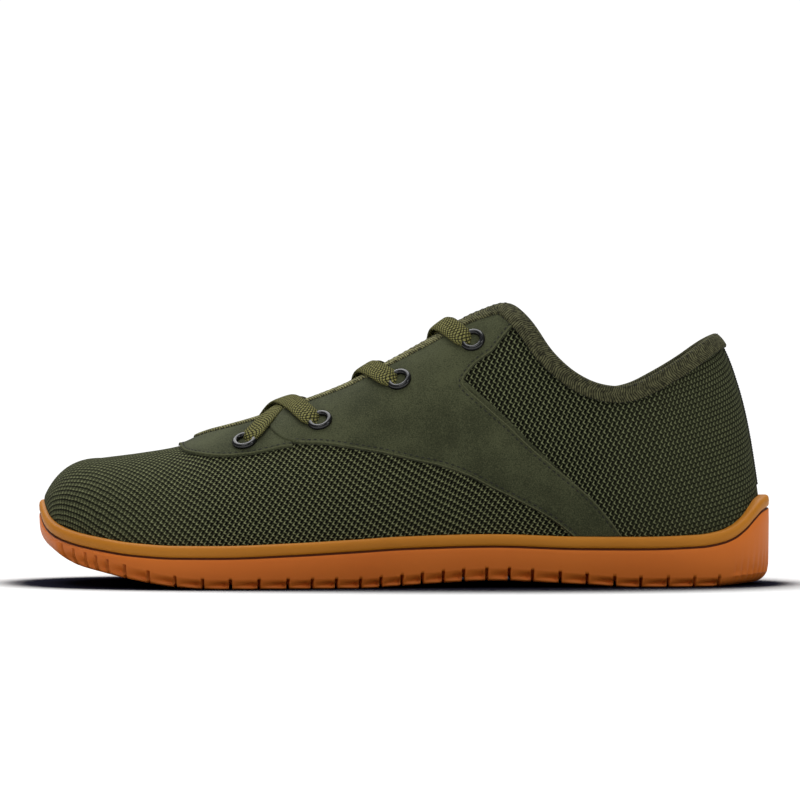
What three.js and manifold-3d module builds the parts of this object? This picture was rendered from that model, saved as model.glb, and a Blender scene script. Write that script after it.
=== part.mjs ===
import * as THREE from "three";
import { LoftGeometry } from "three/addons/geometries/LoftGeometry.js";
import { mergeVertices } from "three/addons/utils/BufferGeometryUtils.js";
import Module from "manifold-3d";

// Left barefoot shoe in millimetres. Toe towards -X, outer side towards -Y, sole standing on z = 0.

// Driving sizes
const shoeLength = 281; // sole, from toe tip to heel back
const ballWidth = 106; // sole, at its widest
const instepHeight = 110; // foot form above the ground, at the top of the throat
const heelHeight = 96; // collar at the back of the heel
const rimHeight = 20; // top of the rubber rim at the waist
const bedHeight = 8; // footbed of the rubber sole above the ground
const toeSpring = 12.5; // rise of the tread under the toe tip
const rimBand = 4.2; // rolled band at the top of the rim
const rimWidth = 2.6; // rubber outside the upper
const grooveDepth = 0.8;
const grooveHeight = 0.9;
const edgeRadius = 2.2; // lower edge of the sole at its waist
const upperWall = 2;
const overlayWall = 1;
const bindingWidth = 5.4;
const bindingWall = 0.7; // how far the binding stands proud, outside and inside
const throatGap = 17.5; // between the two edges of the throat
const throatStart = 66; // throat's front end, behind the toe tip
const tongueWidth = 46;
const tongueWall = 2.4;
const insoleWall = 4;
const eyeletRadius = 4.8;
const eyeletBore = 2.8;
const eyeletTube = 0.6; // wall of the tube through the panel
const eyeletFlange = 0.9;
const laceWidth = 7;
const laceWall = 1.5;
const slotWidth = 1.2;
const slotHeight = 3.8;
const slotDepth = 5;
const treadGroove = 1.4;
const clearance = 0.3;

// Sole outline from the toe tip to the heel back: half widths as shares of the ball width
const outlineRows = [
  { at: 0.0, outer: -0.14, inner: 0.14 },
  { at: 0.02, outer: 0.155, inner: 0.31 },
  { at: 0.06, outer: 0.302, inner: 0.418 },
  { at: 0.12, outer: 0.412, inner: 0.474 },
  { at: 0.2, outer: 0.482, inner: 0.492 },
  { at: 0.28, outer: 0.5, inner: 0.475 },
  { at: 0.35, outer: 0.475, inner: 0.43 },
  { at: 0.45, outer: 0.425, inner: 0.37 },
  { at: 0.55, outer: 0.38, inner: 0.33 },
  { at: 0.65, outer: 0.36, inner: 0.318 },
  { at: 0.75, outer: 0.352, inner: 0.338 },
  { at: 0.86, outer: 0.332, inner: 0.33 },
  { at: 0.94, outer: 0.26, inner: 0.265 },
  { at: 0.985, outer: 0.14, inner: 0.14 },
  { at: 1.0, outer: 0.0, inner: 0.0 },
];

// Sole from the side: tread as a share of the toe spring, bed of the bed height, rim of the rim height
const soleRows = [
  { at: 0.0, tread: 1.0, bed: 2.4, rim: 1.6, edge: 4.6 },
  { at: 0.003, tread: 0.97, bed: 2.38, rim: 1.56, edge: 4.6 },
  { at: 0.01, tread: 0.93, bed: 2.32, rim: 1.4, edge: 4.5 },
  { at: 0.017, tread: 0.88, bed: 2.26, rim: 1.29, edge: 4.2 },
  { at: 0.03, tread: 0.78, bed: 2.15, rim: 1.17, edge: 3.6 },
  { at: 0.057, tread: 0.62, bed: 1.9, rim: 1.045, edge: 2.4 },
  { at: 0.09, tread: 0.48, bed: 1.65, rim: 0.955, edge: 1.5 },
  { at: 0.14, tread: 0.26, bed: 1.3, rim: 0.855, edge: 1.0 },
  { at: 0.2, tread: 0.06, bed: 1.06, rim: 0.81, edge: 0.9 },
  { at: 0.25, tread: 0.0, bed: 1.0, rim: 0.81, edge: 0.9 },
  { at: 0.36, tread: 0.0, bed: 1.0, rim: 0.86, edge: 0.9 },
  { at: 0.44, tread: 0.0, bed: 1.0, rim: 0.92, edge: 0.9 },
  { at: 0.5, tread: 0.07, bed: 1.03, rim: 0.97, edge: 1.0 },
  { at: 0.62, tread: 0.21, bed: 1.1, rim: 1.01, edge: 1.0 },
  { at: 0.74, tread: 0.09, bed: 1.06, rim: 0.96, edge: 1.0 },
  { at: 0.82, tread: 0.0, bed: 1.02, rim: 0.955, edge: 1.0 },
  { at: 0.9, tread: 0.0, bed: 1.02, rim: 0.99, edge: 1.2 },
  { at: 0.93, tread: 0.0, bed: 1.04, rim: 1.06, edge: 1.7 },
  { at: 0.947, tread: 0.02, bed: 1.06, rim: 1.15, edge: 2.1 },
  { at: 0.964, tread: 0.04, bed: 1.08, rim: 1.32, edge: 2.5 },
  { at: 0.976, tread: 0.05, bed: 1.1, rim: 1.49, edge: 2.8 },
  { at: 0.988, tread: 0.06, bed: 1.12, rim: 1.64, edge: 3.0 },
  { at: 1.0, tread: 0.06, bed: 1.12, rim: 1.71, edge: 3.0 },
];

// Crown of the foot form between its two poles: height as a share of the instep height, sideways shift of
// the ball width, round is the section's exponent, and lean draws the lower wall inwards
const crownRows = [
  { at: 0.085, height: 0.438, middle: 0.055, round: 2.35, lean: 0.0 },
  { at: 0.14, height: 0.456, middle: 0.05, round: 2.3, lean: 0.0 },
  { at: 0.195, height: 0.481, middle: 0.04, round: 2.15, lean: 0.0 },
  { at: 0.245, height: 0.54, middle: 0.03, round: 2.0, lean: 0.0 },
  { at: 0.3, height: 0.583, middle: 0.025, round: 1.95, lean: 0.0 },
  { at: 0.36, height: 0.638, middle: 0.02, round: 1.97, lean: 0.04 },
  { at: 0.42, height: 0.7, middle: 0.016, round: 2.02, lean: 0.08 },
  { at: 0.48, height: 0.782, middle: 0.012, round: 2.12, lean: 0.12 },
  { at: 0.54, height: 0.872, middle: 0.01, round: 2.2, lean: 0.15 },
  { at: 0.6, height: 0.962, middle: 0.008, round: 2.28, lean: 0.18 },
  { at: 0.65, height: 1.0, middle: 0.006, round: 2.38, lean: 0.22 },
  { at: 0.75, height: 1.01, middle: 0.003, round: 2.6, lean: 0.26 },
  { at: 0.85, height: 0.985, middle: 0.0, round: 2.25, lean: 0.4 },
];

// Edge of the collar from the side, height as a share of the heel height
const collarRows = [
  { at: 0.634, height: 1.121 },
  { at: 0.646, height: 1.118 },
  { at: 0.656, height: 1.102 },
  { at: 0.675, height: 1.043 },
  { at: 0.701, height: 0.927 },
  { at: 0.735, height: 0.837 },
  { at: 0.765, height: 0.797 },
  { at: 0.788, height: 0.787 },
  { at: 0.811, height: 0.8 },
  { at: 0.843, height: 0.846 },
  { at: 0.875, height: 0.902 },
  { at: 0.92, height: 0.992 },
  { at: 0.955, height: 1.03 },
];

// Side panel from the side, clockwise from its front tip; height as a share of the instep height
const panelFront = [
  { at: 0.318, height: 0.6 },
  { at: 0.322, height: 0.533 },
  { at: 0.332, height: 0.511 },
  { at: 0.345, height: 0.495 },
  { at: 0.364, height: 0.488 },
  { at: 0.391, height: 0.487 },
  { at: 0.425, height: 0.476 },
  { at: 0.477, height: 0.454 },
  { at: 0.522, height: 0.428 },
  { at: 0.549, height: 0.413 },
  { at: 0.59, height: 0.376 },
  { at: 0.63, height: 0.324 },
  { at: 0.671, height: 0.272 },
  { at: 0.702, height: 0.225 },
  { at: 0.736, height: 0.155 },
];
const panelRear = [
  { at: 0.799, height: 0.155 },
  { at: 0.773, height: 0.245 },
  { at: 0.753, height: 0.303 },
  { at: 0.713, height: 0.392 },
  { at: 0.672, height: 0.48 },
  { at: 0.631, height: 0.579 },
  { at: 0.596, height: 0.658 },
  { at: 0.583, height: 0.692 },
  { at: 0.582, height: 0.71 },
  { at: 0.588, height: 0.735 },
  { at: 0.6, height: 0.768 },
  { at: 0.621, height: 0.806 },
  { at: 0.67, height: 0.86 },
];

// Front piece of the eyestay from the side
const eyestayRows = [
  { at: 0.19, height: 0.6 },
  { at: 0.194, height: 0.485 },
  { at: 0.199, height: 0.468 },
  { at: 0.21, height: 0.455 },
  { at: 0.235, height: 0.446 },
  { at: 0.26, height: 0.443 },
  { at: 0.285, height: 0.448 },
  { at: 0.308, height: 0.456 },
  { at: 0.337, height: 0.474 },
  { at: 0.364, height: 0.48 },
  { at: 0.42, height: 0.47 },
];

// Eyelet centres from the side
const eyeletRows = [
  { at: 0.288, height: 0.491 },
  { at: 0.389, height: 0.562 },
  { at: 0.496, height: 0.704 },
  { at: 0.595, height: 0.841 },
];

// Slots in the edge of the tread, as shares of the length from the toe tip
const slotPlaces = [
  0.041, 0.058, 0.075, 0.09, 0.106, 0.13, 0.162, 0.198, 0.235, 0.272, 0.31, 0.348, 0.38, 0.412, 0.444,
  0.471, 0.499, 0.526, 0.554, 0.581, 0.612, 0.642, 0.673, 0.71, 0.746, 0.783, 0.818, 0.855, 0.891, 0.925,
];

const along = (at) => (at - 0.5) * shoeLength;
const shareAt = (x) => x / shoeLength + 0.5;

// A smooth curve through one column of a table, without overshoot
function follow(rows, column) {
  const xs = rows.map((row) => row.at);
  const ys = rows.map((row) => row[column]);
  const rise = xs.slice(1).map((x, i) => (ys[i + 1] - ys[i]) / (x - xs[i]));
  const slope = ys.map((_, i) => {
    const before = rise[Math.max(i - 1, 0)];
    const after = rise[Math.min(i, rise.length - 1)];
    return before * after > 0 ? (2 * before * after) / (before + after) : 0;
  });
  return (at) => {
    const here = THREE.MathUtils.clamp(at, xs[0], xs.at(-1));
    const next = Math.max(xs.findIndex((x) => x >= here), 1);
    const i = next - 1;
    const gap = xs[next] - xs[i];
    const t = (here - xs[i]) / gap;
    const fall = (1 + 2 * t) * (1 - t) ** 2 * ys[i] + t * (1 - t) ** 2 * gap * slope[i];
    return fall + t * t * (3 - 2 * t) * ys[next] + t * t * (t - 1) * gap * slope[next];
  };
}

const treadAt = follow(soleRows, "tread");
const bedAt = follow(soleRows, "bed");
const rimAt = follow(soleRows, "rim");
const edgeAt = follow(soleRows, "edge");
const crownHeight = follow(crownRows, "height");
const crownMiddle = follow(crownRows, "middle");
const crownRound = follow(crownRows, "round");
const crownLean = follow(crownRows, "lean");
const collarAt = follow(collarRows, "height");
const toePole = crownRows[0].at;
const heelPole = crownRows.at(-1).at;

// Sole outline, sampled evenly from the toe tip along the outer side to the heel and back
function traceOutline() {
  const outer = outlineRows.slice(1).map((row) => new THREE.Vector2(along(row.at), -row.outer * ballWidth));
  const inner = outlineRows.slice(0, -1).map((row) => new THREE.Vector2(along(row.at), row.inner * ballWidth));
  const loop = [...outer, ...inner.reverse()].map((p) => new THREE.Vector3(p.x, p.y, 0));
  const curve = new THREE.CatmullRomCurve3(loop, true, "centripetal");
  const points = curve.getSpacedPoints(1200).slice(0, -1);
  return points.map((p, i) => {
    const ahead = points[(i + 1) % points.length];
    const behind = points[(i + points.length - 1) % points.length];
    const tangent = new THREE.Vector2(ahead.x - behind.x, ahead.y - behind.y).normalize();
    return { x: p.x, y: p.y, nx: tangent.y * -1, ny: tangent.x };
  });
}

const trace = traceOutline();
const tipIndex = trace.reduce((best, p, i) => (p.x < trace[best].x ? i : best), 0);
const backIndex = trace.reduce((best, p, i) => (p.x > trace[best].x ? i : best), 0);
const fromTip = trace.map((_, i) => trace[(tipIndex + i) % trace.length]);
const backStep = (backIndex - tipIndex + trace.length) % trace.length;
const outerTrace = fromTip.slice(0, backStep + 1);
const innerTrace = [...fromTip.slice(backStep), fromTip[0]].reverse();
const outward = outerTrace[100].ny * outerTrace[100].y > 0 ? 1 : -1;

// The outline's point at a share of the length, on the outer (-1) or inner (1) side
function sidePoint(at, side) {
  const chain = side < 0 ? outerTrace : innerTrace;
  const x = along(at);
  const next = THREE.MathUtils.clamp(chain.findIndex((p) => p.x >= x), 1, chain.length - 1);
  const a = chain[next - 1];
  const b = chain[next];
  const t = THREE.MathUtils.clamp((x - a.x) / (b.x - a.x || 1), 0, 1);
  const mix = (key) => a[key] + (b[key] - a[key]) * t;
  return { x: mix("x"), y: mix("y"), nx: mix("nx"), ny: mix("ny") };
}

// Places round the outline. A side place has its own spine point; toe and heel places share a pole.
function ringPlaces(sideSteps, endSteps) {
  const places = [];
  const pushSide = (side, forwards) => {
    for (let k = 0; k <= sideSteps; k++) {
      const t = forwards ? k / sideSteps : 1 - k / sideSteps;
      const at = toePole + (heelPole - toePole) * t;
      places.push({ base: sidePoint(at, side), spine: at });
    }
  };
  const pushEnd = (arc, spine) => {
    for (let k = 1; k < endSteps; k++) {
      places.push({ base: arc[Math.round((k / endSteps) * (arc.length - 1))], spine });
    }
  };
  const pastHeel = (p) => p.x > along(heelPole);
  const beforeToe = (p) => p.x < along(toePole);
  pushSide(-1, true);
  pushEnd([...outerTrace.filter(pastHeel), ...innerTrace.filter(pastHeel).reverse()], heelPole);
  pushSide(1, false);
  pushEnd([...innerTrace.filter(beforeToe).reverse(), ...outerTrace.filter(beforeToe)], toePole);
  return places;
}

// A point of the outline moved inwards by a distance
function insetPoint(base, inset) {
  return { x: base.x - base.nx * outward * inset, y: base.y - base.ny * outward * inset };
}

const spinePoint = (at) => new THREE.Vector3(along(at), crownMiddle(at) * ballWidth, crownHeight(at) * instepHeight);
const bedLevel = (x) => bedAt(shareAt(x)) * bedHeight + clearance;

// The foot form before any offset. turn runs from 0 at the bed to a right angle at the crown.
function formBase(place, turn) {
  const foot = insetPoint(place.base, rimWidth);
  const top = spinePoint(place.spine);
  const round = crownRound(place.spine);
  const rise = Math.sin(turn) ** (2 / round);
  const inward = 1 - Math.max(Math.cos(turn), 0) ** (2 / round) + crownLean(place.spine) * rise * (1 - rise) ** 2;
  const low = bedLevel(place.base.x);
  return new THREE.Vector3(
    foot.x + (top.x - foot.x) * inward,
    foot.y + (top.y - foot.y) * inward,
    low + (top.z - low) * rise,
  );
}

// The outward direction of the form at a place, from its neighbours
function formNormal(before, place, after, turn) {
  if (turn > Math.PI / 2 - 0.01) {
    const reach = 0.004;
    const ahead = spinePoint(Math.min(place.spine + reach, heelPole));
    const behind = spinePoint(Math.max(place.spine - reach, toePole));
    const slope = ahead.sub(behind);
    return new THREE.Vector3(-slope.z, 0, slope.x).normalize();
  }
  const step = 0.02;
  const round = formBase(after, turn).sub(formBase(before, turn));
  const up = formBase(place, turn + step).sub(formBase(place, Math.max(turn - step, 0.001)));
  const normal = round.cross(up).normalize();
  const foot = place.base;
  const outwards = normal.x * foot.nx * outward + normal.y * foot.ny * outward;
  return outwards < 0 && normal.z < 0.5 ? normal.negate() : normal;
}

const formTurns = [0.001, 0.24, 0.48, 0.74, 0.98, 1.18, 1.36, 1.48, Math.PI / 2];

// A closed body of the foot form, grown or shrunk by out and reaching below the bed by drop
function footForm(out, drop, sideSteps = 22, endSteps = 9) {
  const places = ringPlaces(sideSteps, endSteps);
  const last = places.length - 1;
  const rings = formTurns.map((turn) =>
    places.map((place, i) => {
      const before = places[i === 0 ? last : i - 1];
      const after = places[i === last ? 0 : i + 1];
      return formBase(place, turn).addScaledVector(formNormal(before, place, after, turn), out);
    }),
  );
  const floor = rings[0].map((p) => new THREE.Vector3(p.x, p.y, bedLevel(p.x) - drop));
  const bottom = places.map((place) => {
    const spine = spinePoint(place.spine);
    return new THREE.Vector3(spine.x, spine.y, bedLevel(spine.x) - drop);
  });
  return [bottom, floor, ...rings];
}

const wasm = await Module();
wasm.setup();

// A closed geometry as a solid, its shared corners merged and its empty faces left out
function solid(geometry) {
  const bare = new THREE.BufferGeometry().copy(geometry);
  bare.deleteAttribute("normal");
  bare.deleteAttribute("uv");
  const merged = mergeVertices(bare, 1e-4);
  const faces = [];
  const index = merged.index.array;
  for (let i = 0; i < index.length; i += 3) {
    const [a, b, c] = [index[i], index[i + 1], index[i + 2]];
    if (a !== b && b !== c && c !== a) faces.push(a, b, c);
  }
  const build = (triangles) =>
    new wasm.Manifold(
      new wasm.Mesh({
        numProp: 3,
        vertProperties: merged.attributes.position.array,
        triVerts: new Uint32Array(triangles),
      }),
    );
  const made = build(faces);
  return made.volume() < 0 ? build(faces.reverse()) : made;
}

const loft = (rings) => solid(new LoftGeometry(rings));

// A solid's triangles as a geometry
function geometryOf(body) {
  const mesh = body.getMesh();
  const geometry = new THREE.BufferGeometry();
  geometry.setAttribute("position", new THREE.BufferAttribute(new Float32Array(mesh.vertProperties), 3));
  geometry.setIndex(new THREE.BufferAttribute(new Uint32Array(mesh.triVerts), 1));
  return geometry;
}

// A prism across the shoe from an outline seen from the side
function sidePrism(points, from, to) {
  const shape = new THREE.Shape(points.map((p) => new THREE.Vector2(p.x, p.z)));
  const geometry = new THREE.ExtrudeGeometry(shape, { depth: to - from, bevelEnabled: false });
  geometry.rotateX(Math.PI / 2);
  geometry.translate(0, to, 0);
  return solid(geometry);
}

const seenFromSide = (rows, size) => rows.map((row) => ({ x: along(row.at), z: row.height * size }));
const high = instepHeight * 2;
const wide = ballWidth * 2;

// What is open above: the collar seen from the side, joined to the throat slot seen from above
function openingCut(grow) {
  const line = [];
  const steps = 30;
  const first = collarRows[0].at;
  const end = collarRows.at(-1).at;
  for (let k = 0; k <= steps; k++) {
    const at = first + ((end - first) * k) / steps;
    const reach = 0.002;
    const slope = (collarAt(at + reach) - collarAt(at - reach)) * heelHeight;
    const normal = new THREE.Vector2(slope, -2 * reach * shoeLength).normalize();
    line.push({ x: along(at) + normal.x * grow, z: collarAt(at) * heelHeight + normal.y * grow });
  }
  const ordered = line.filter((p, i) => i === 0 || p.x > Math.max(...line.slice(0, i).map((q) => q.x)));
  const startX = ordered[0].x;
  const outline = [{ x: startX, z: high }, ...ordered, { x: shoeLength, z: ordered.at(-1).z }];
  outline.push({ x: shoeLength, z: high });
  const collar = sidePrism(outline, -wide, wide);
  const half = throatGap / 2 + grow * 0.76;
  const front = throatStart - shoeLength / 2 - grow;
  const middle = crownMiddle(shareAt(front)) * ballWidth;
  const slot = new THREE.Shape();
  slot.moveTo(along(0.7), -half);
  slot.lineTo(front + half, middle - half);
  slot.absarc(front + half, middle, half, -Math.PI / 2, Math.PI / 2, true);
  slot.lineTo(along(0.7), half);
  slot.closePath();
  const prism = new THREE.ExtrudeGeometry(slot, { depth: high, bevelEnabled: false, curveSegments: 8 });
  return collar.add(solid(prism.translate(0, 0, bedHeight * 3)));
}

// The rubber sole: a cup with a rolled rim, a groove under it and slots in its edge
function makeOutsole() {
  const places = ringPlaces(25, 12);
  const level = (x, name) => {
    const at = shareAt(x);
    return { tread: treadAt(at) * toeSpring, rim: rimAt(at) * rimHeight, edge: edgeAt(at) * edgeRadius }[name];
  };
  const steps = [
    { inset: (e) => e, z: (x) => level(x, "tread") },
    { inset: (e) => e * 0.293, z: (x, e) => level(x, "tread") + e * 0.293 },
    { inset: () => 0, z: (x, e) => level(x, "tread") + e },
    { inset: () => 0, z: (x) => level(x, "rim") - rimBand - grooveHeight },
    { inset: () => grooveDepth, z: (x) => level(x, "rim") - rimBand - grooveHeight * 0.8 },
    { inset: () => grooveDepth, z: (x) => level(x, "rim") - rimBand - grooveHeight * 0.2 },
    { inset: () => 0, z: (x) => level(x, "rim") - rimBand },
    { inset: () => 0, z: (x) => level(x, "rim") - rimBand * 0.3 },
    { inset: () => 1.0, z: (x) => level(x, "rim") },
  ];
  const rings = steps.map((step) =>
    places.map((place) => {
      const edge = level(place.base.x, "edge");
      const point = insetPoint(place.base, step.inset(edge));
      return new THREE.Vector3(point.x, point.y, step.z(place.base.x, edge));
    }),
  );
  const spineRing = (name) =>
    places.map((place) => {
      const spine = spinePoint(place.spine);
      return new THREE.Vector3(spine.x, spine.y, level(spine.x, name));
    });
  let sole = loft([spineRing("tread"), ...rings, spineRing("rim")]);
  sole = sole.subtract(loft(footForm(clearance, clearance)));
  for (const at of slotPlaces) {
    for (const side of [-1, 1]) {
      const edge = sidePoint(at, side);
      const low = level(edge.x, "tread");
      const slot = new THREE.BoxGeometry(slotWidth, slotDepth * 2, (slotHeight + low * 0.4) * 2);
      slot.rotateZ(Math.atan2(edge.ny * outward, edge.nx * outward) - Math.PI / 2);
      slot.translate(edge.x, edge.y, low);
      sole = sole.subtract(solid(slot));
    }
  }
  for (const at of slotPlaces.filter((_, i) => i % 2 === 1)) {
    const groove = new THREE.BoxGeometry(slotWidth, wide, treadGroove * 2);
    sole = sole.subtract(solid(groove.translate(along(at), 0, level(along(at), "tread"))));
  }
  return sole;
}

// The hollow knitted upper, its wall cut back under the binding
function makeUpper() {
  const shell = loft(footForm(0, 0)).subtract(loft(footForm(-upperWall, bedHeight)));
  return shell.subtract(openingCut(bindingWidth + clearance));
}

// The folded tape round the throat and the collar
function makeBinding() {
  const outside = loft(footForm(bindingWall, 0));
  const inside = loft(footForm(-upperWall - bindingWall, bedHeight));
  const band = outside.subtract(inside);
  return band.intersect(openingCut(bindingWidth)).subtract(openingCut(0));
}

const overlayShell = loft(footForm(clearance + overlayWall, 0)).subtract(loft(footForm(clearance, bedHeight)));
const rimTop = loft(ringsToRim());

// Everything below the top of the rim, with the clearance that the panels keep above it
function ringsToRim() {
  const places = ringPlaces(24, 10);
  const ring = (z) =>
    places.map((place) => {
      const point = insetPoint(place.base, -rimWidth);
      return new THREE.Vector3(point.x, point.y, z(place.base.x));
    });
  const spine = (z) =>
    places.map((place) => {
      const top = spinePoint(place.spine);
      return new THREE.Vector3(top.x, top.y, z(top.x));
    });
  const bottom = () => -toeSpring;
  const rim = (x) => rimAt(shareAt(x)) * rimHeight + clearance;
  return [spine(bottom), ring(bottom), ring(rim), spine(rim)];
}

const panelOutline = seenFromSide([...panelFront, ...panelRear], instepHeight);
const smoothLine = (points) => {
  const curve = new THREE.SplineCurve(points.map((p) => new THREE.Vector2(p.x, p.z)));
  return curve.getPoints(points.length * 2).map((p) => ({ x: p.x, z: p.y }));
};
const panelFrontLine = smoothLine(seenFromSide(panelFront, instepHeight));
const panelRearLine = smoothLine(seenFromSide(panelRear, instepHeight));

// The panel's side outline, moved outwards by grow
function panelShape(grow) {
  const top = [
    { x: panelRearLine.at(-1).x, z: high },
    { x: panelFrontLine[0].x - grow, z: high },
  ];
  const front = panelFrontLine.map((p) => ({ x: p.x - grow * 0.7, z: p.z - grow * 0.7 }));
  const rear = panelRearLine.map((p) => ({ x: p.x + grow, z: p.z }));
  return [...front, ...rear, ...top];
}

// A side panel between the sole and the throat, on the outer (-1) or inner (1) side
function makePanel(side) {
  const prism = side < 0 ? sidePrism(panelShape(0), -wide, 0) : sidePrism(panelShape(0), 0, wide);
  const cut = openingCut(bindingWidth + clearance);
  return overlayShell.intersect(prism).subtract(cut).subtract(rimTop);
}

// The piece round the front of the throat, cut back where the side panels overlap it
function makeEyestay() {
  const lower = smoothLine(seenFromSide(eyestayRows, instepHeight));
  const outline = [...lower, { x: lower.at(-1).x, z: high }, { x: lower[0].x, z: high }];
  const prism = sidePrism(outline, -wide, wide).subtract(sidePrism(panelShape(clearance), -wide, wide));
  return overlayShell.intersect(prism).subtract(openingCut(bindingWidth + clearance));
}

// The tongue, under the throat and clear of the upper's lining
function makeTongue() {
  const top = -upperWall - bindingWall - clearance;
  const strip = loft(footForm(top, 0)).subtract(loft(footForm(top - tongueWall, 0)));
  const front = throatStart - shoeLength / 2 - tongueWidth * 0.25;
  const back = along(collarRows[1].at);
  const shape = new THREE.Shape();
  const half = tongueWidth / 2;
  shape.moveTo(front, -half);
  shape.lineTo(back - half * 0.4, -half * 0.8);
  shape.quadraticCurveTo(back, -half * 0.8, back, 0);
  shape.quadraticCurveTo(back, half * 0.8, back - half * 0.4, half * 0.8);
  shape.lineTo(front, half);
  const plan = new THREE.ExtrudeGeometry(shape, { depth: high, bevelEnabled: false, curveSegments: 5 });
  return strip.intersect(solid(plan.translate(0, 0, bedHeight * 4)));
}

// The flat footbed inside the upper
function makeInsole() {
  const places = ringPlaces(20, 9);
  const ring = (raise) =>
    places.map((place) => {
      const point = insetPoint(place.base, rimWidth + upperWall + clearance * 3);
      return new THREE.Vector3(point.x, point.y, bedLevel(place.base.x) + raise);
    });
  const spine = (raise) =>
    places.map((place) => {
      const top = spinePoint(place.spine);
      return new THREE.Vector3(top.x, top.y, bedLevel(top.x) + raise);
    });
  return loft([spine(0), ring(0), ring(insoleWall), spine(insoleWall)]);
}

// A point of the form and its outward direction, found from the side at a share of the length and a height
function surfaceAt(at, z, side) {
  const low = bedLevel(along(at));
  const top = spinePoint(at).z;
  const rise = THREE.MathUtils.clamp((z - low) / (top - low), 0.001, 1);
  const turn = Math.asin(rise ** (crownRound(at) / 2));
  const step = 0.004;
  const near = [at - step, at, at + step].map((share) => ({ base: sidePoint(share, side), spine: share }));
  if (side > 0) near.reverse();
  return { point: formBase(near[1], turn), normal: formNormal(near[0], near[1], near[2], turn) };
}

// Turns a geometry's Z to a direction and moves it to a point
function seat(geometry, point, normal) {
  const turn = new THREE.Quaternion().setFromUnitVectors(new THREE.Vector3(0, 0, 1), normal);
  return geometry.applyQuaternion(turn).translate(point.x, point.y, point.z);
}

const eyeletSeat = clearance + overlayWall + clearance;
const eyeletSag = eyeletRadius ** 2 / (2 * ballWidth * 0.33);

function eyeletPlaces() {
  const places = [];
  eyeletRows.forEach((row, i) => {
    for (const side of [-1, 1]) {
      const name = `eyelet_${side < 0 ? "outer" : "inner"}_${i + 1}`;
      places.push({ name, side, row: i, ...surfaceAt(row.at, row.height * instepHeight, side) });
    }
  });
  return places;
}

// A ring with its flange on the panel and its tube through the wall
function makeEyelet(place) {
  const tube = eyeletBore + eyeletTube;
  const low = -upperWall;
  const profile = [
    [eyeletBore, low],
    [tube, low],
    [tube, eyeletSeat + eyeletSag],
    [eyeletRadius, eyeletSeat + eyeletSag],
    [eyeletRadius, eyeletSeat + eyeletSag + eyeletFlange * 0.5],
    [(tube + eyeletRadius) / 2, eyeletSeat + eyeletSag + eyeletFlange],
    [eyeletBore, eyeletSeat + eyeletSag + eyeletFlange * 0.5],
    [eyeletBore, low],
  ];
  const ring = new THREE.LatheGeometry(profile.map(([x, y]) => new THREE.Vector2(x, y)), 12);
  return solid(seat(ring.rotateX(Math.PI / 2), place.point, place.normal));
}

function eyeletHole(place) {
  const radius = eyeletBore + eyeletTube + clearance;
  const pin = new THREE.CylinderGeometry(radius, radius, 12, 12);
  return solid(seat(pin.rotateX(Math.PI / 2), place.point, place.normal));
}

// A flat band along points, each with its own outward direction
function flatBand(points, normals, width, wall) {
  const section = (i, scale) => {
    const ahead = points[Math.min(i + 1, points.length - 1)];
    const behind = points[Math.max(i - 1, 0)];
    const forward = ahead.clone().sub(behind).normalize();
    const across = new THREE.Vector3().crossVectors(normals[i], forward).normalize();
    const up = new THREE.Vector3().crossVectors(forward, across);
    const corners = [
      [-0.5, 0],
      [-0.35, -0.5],
      [0.35, -0.5],
      [0.5, 0],
      [0.35, 0.5],
      [-0.35, 0.5],
    ];
    return corners.map(([a, b]) =>
      points[i].clone().addScaledVector(across, a * width * scale).addScaledVector(up, b * wall * scale),
    );
  };
  return solid(new LoftGeometry(points.map((_, i) => section(i, 1)), { capStart: true, capEnd: true }));
}

// Share of the way between two rows of eyelets that a crossing lies on
const crossingStart = 0.2;
const crossingEnd = 0.92;

// One crossing of the lace between two rows of eyelets
function makeCrossing(row) {
  const steps = 10;
  const lay = bindingWall + clearance + laceWall * 0.5;
  const strand = (side, hump) => {
    const from = eyeletRows[row];
    const to = eyeletRows[row + 1];
    const points = [];
    const normals = [];
    for (let k = 0; k <= steps; k++) {
      const t = k / steps;
      const span = THREE.MathUtils.lerp(crossingStart, crossingEnd, t);
      const at = THREE.MathUtils.lerp(from.at, to.at, span);
      const mid = Math.sin(Math.PI * t);
      const edge = THREE.MathUtils.lerp(from.height, to.height, span) * instepHeight;
      const start = surfaceAt(at, edge, t < 0.5 ? side : -side);
      const top = surfaceAt(at, spinePoint(at).z * 0.9999, side);
      const across = Math.cos(Math.PI * t) * side;
      const point = new THREE.Vector3(along(at), 0, 0);
      const half = Math.abs(start.point.y - spinePoint(at).y);
      point.y = spinePoint(at).y + across * (half - eyeletRadius - laceWidth * 0.35);
      const reach = Math.abs(point.y - spinePoint(at).y) / half;
      point.z = THREE.MathUtils.lerp(top.point.z, start.point.z, reach ** 2);
      const normal = top.normal.clone().lerp(start.normal, reach).normalize();
      points.push(point.addScaledVector(normal, lay + 1.2 + hump * mid ** 4));
      normals.push(normal);
    }
    return flatBand(points, normals, laceWidth, laceWall);
  };
  return strand(1, 0).add(strand(-1, laceWall * 0.8));
}

const paints = {
  rubber: { color: 0xb5651d, roughness: 0.55, metalness: 0 },
  knit: { color: 0x3a3d27, roughness: 0.95, metalness: 0 },
  suede: { color: 0x42452c, roughness: 0.9, metalness: 0 },
  tape: { color: 0x34371f, roughness: 0.9, metalness: 0 },
  lining: { color: 0x2c2f20, roughness: 0.95, metalness: 0 },
  metal: { color: 0x202224, roughness: 0.3, metalness: 0.9 },
  lace: { color: 0x5b5f35, roughness: 0.9, metalness: 0 },
};

const shoe = new THREE.Group();

function addPiece(name, paint, body) {
  const mesh = new THREE.Mesh(geometryOf(body), new THREE.MeshStandardMaterial(paints[paint]));
  mesh.name = name;
  shoe.add(mesh);
}

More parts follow.
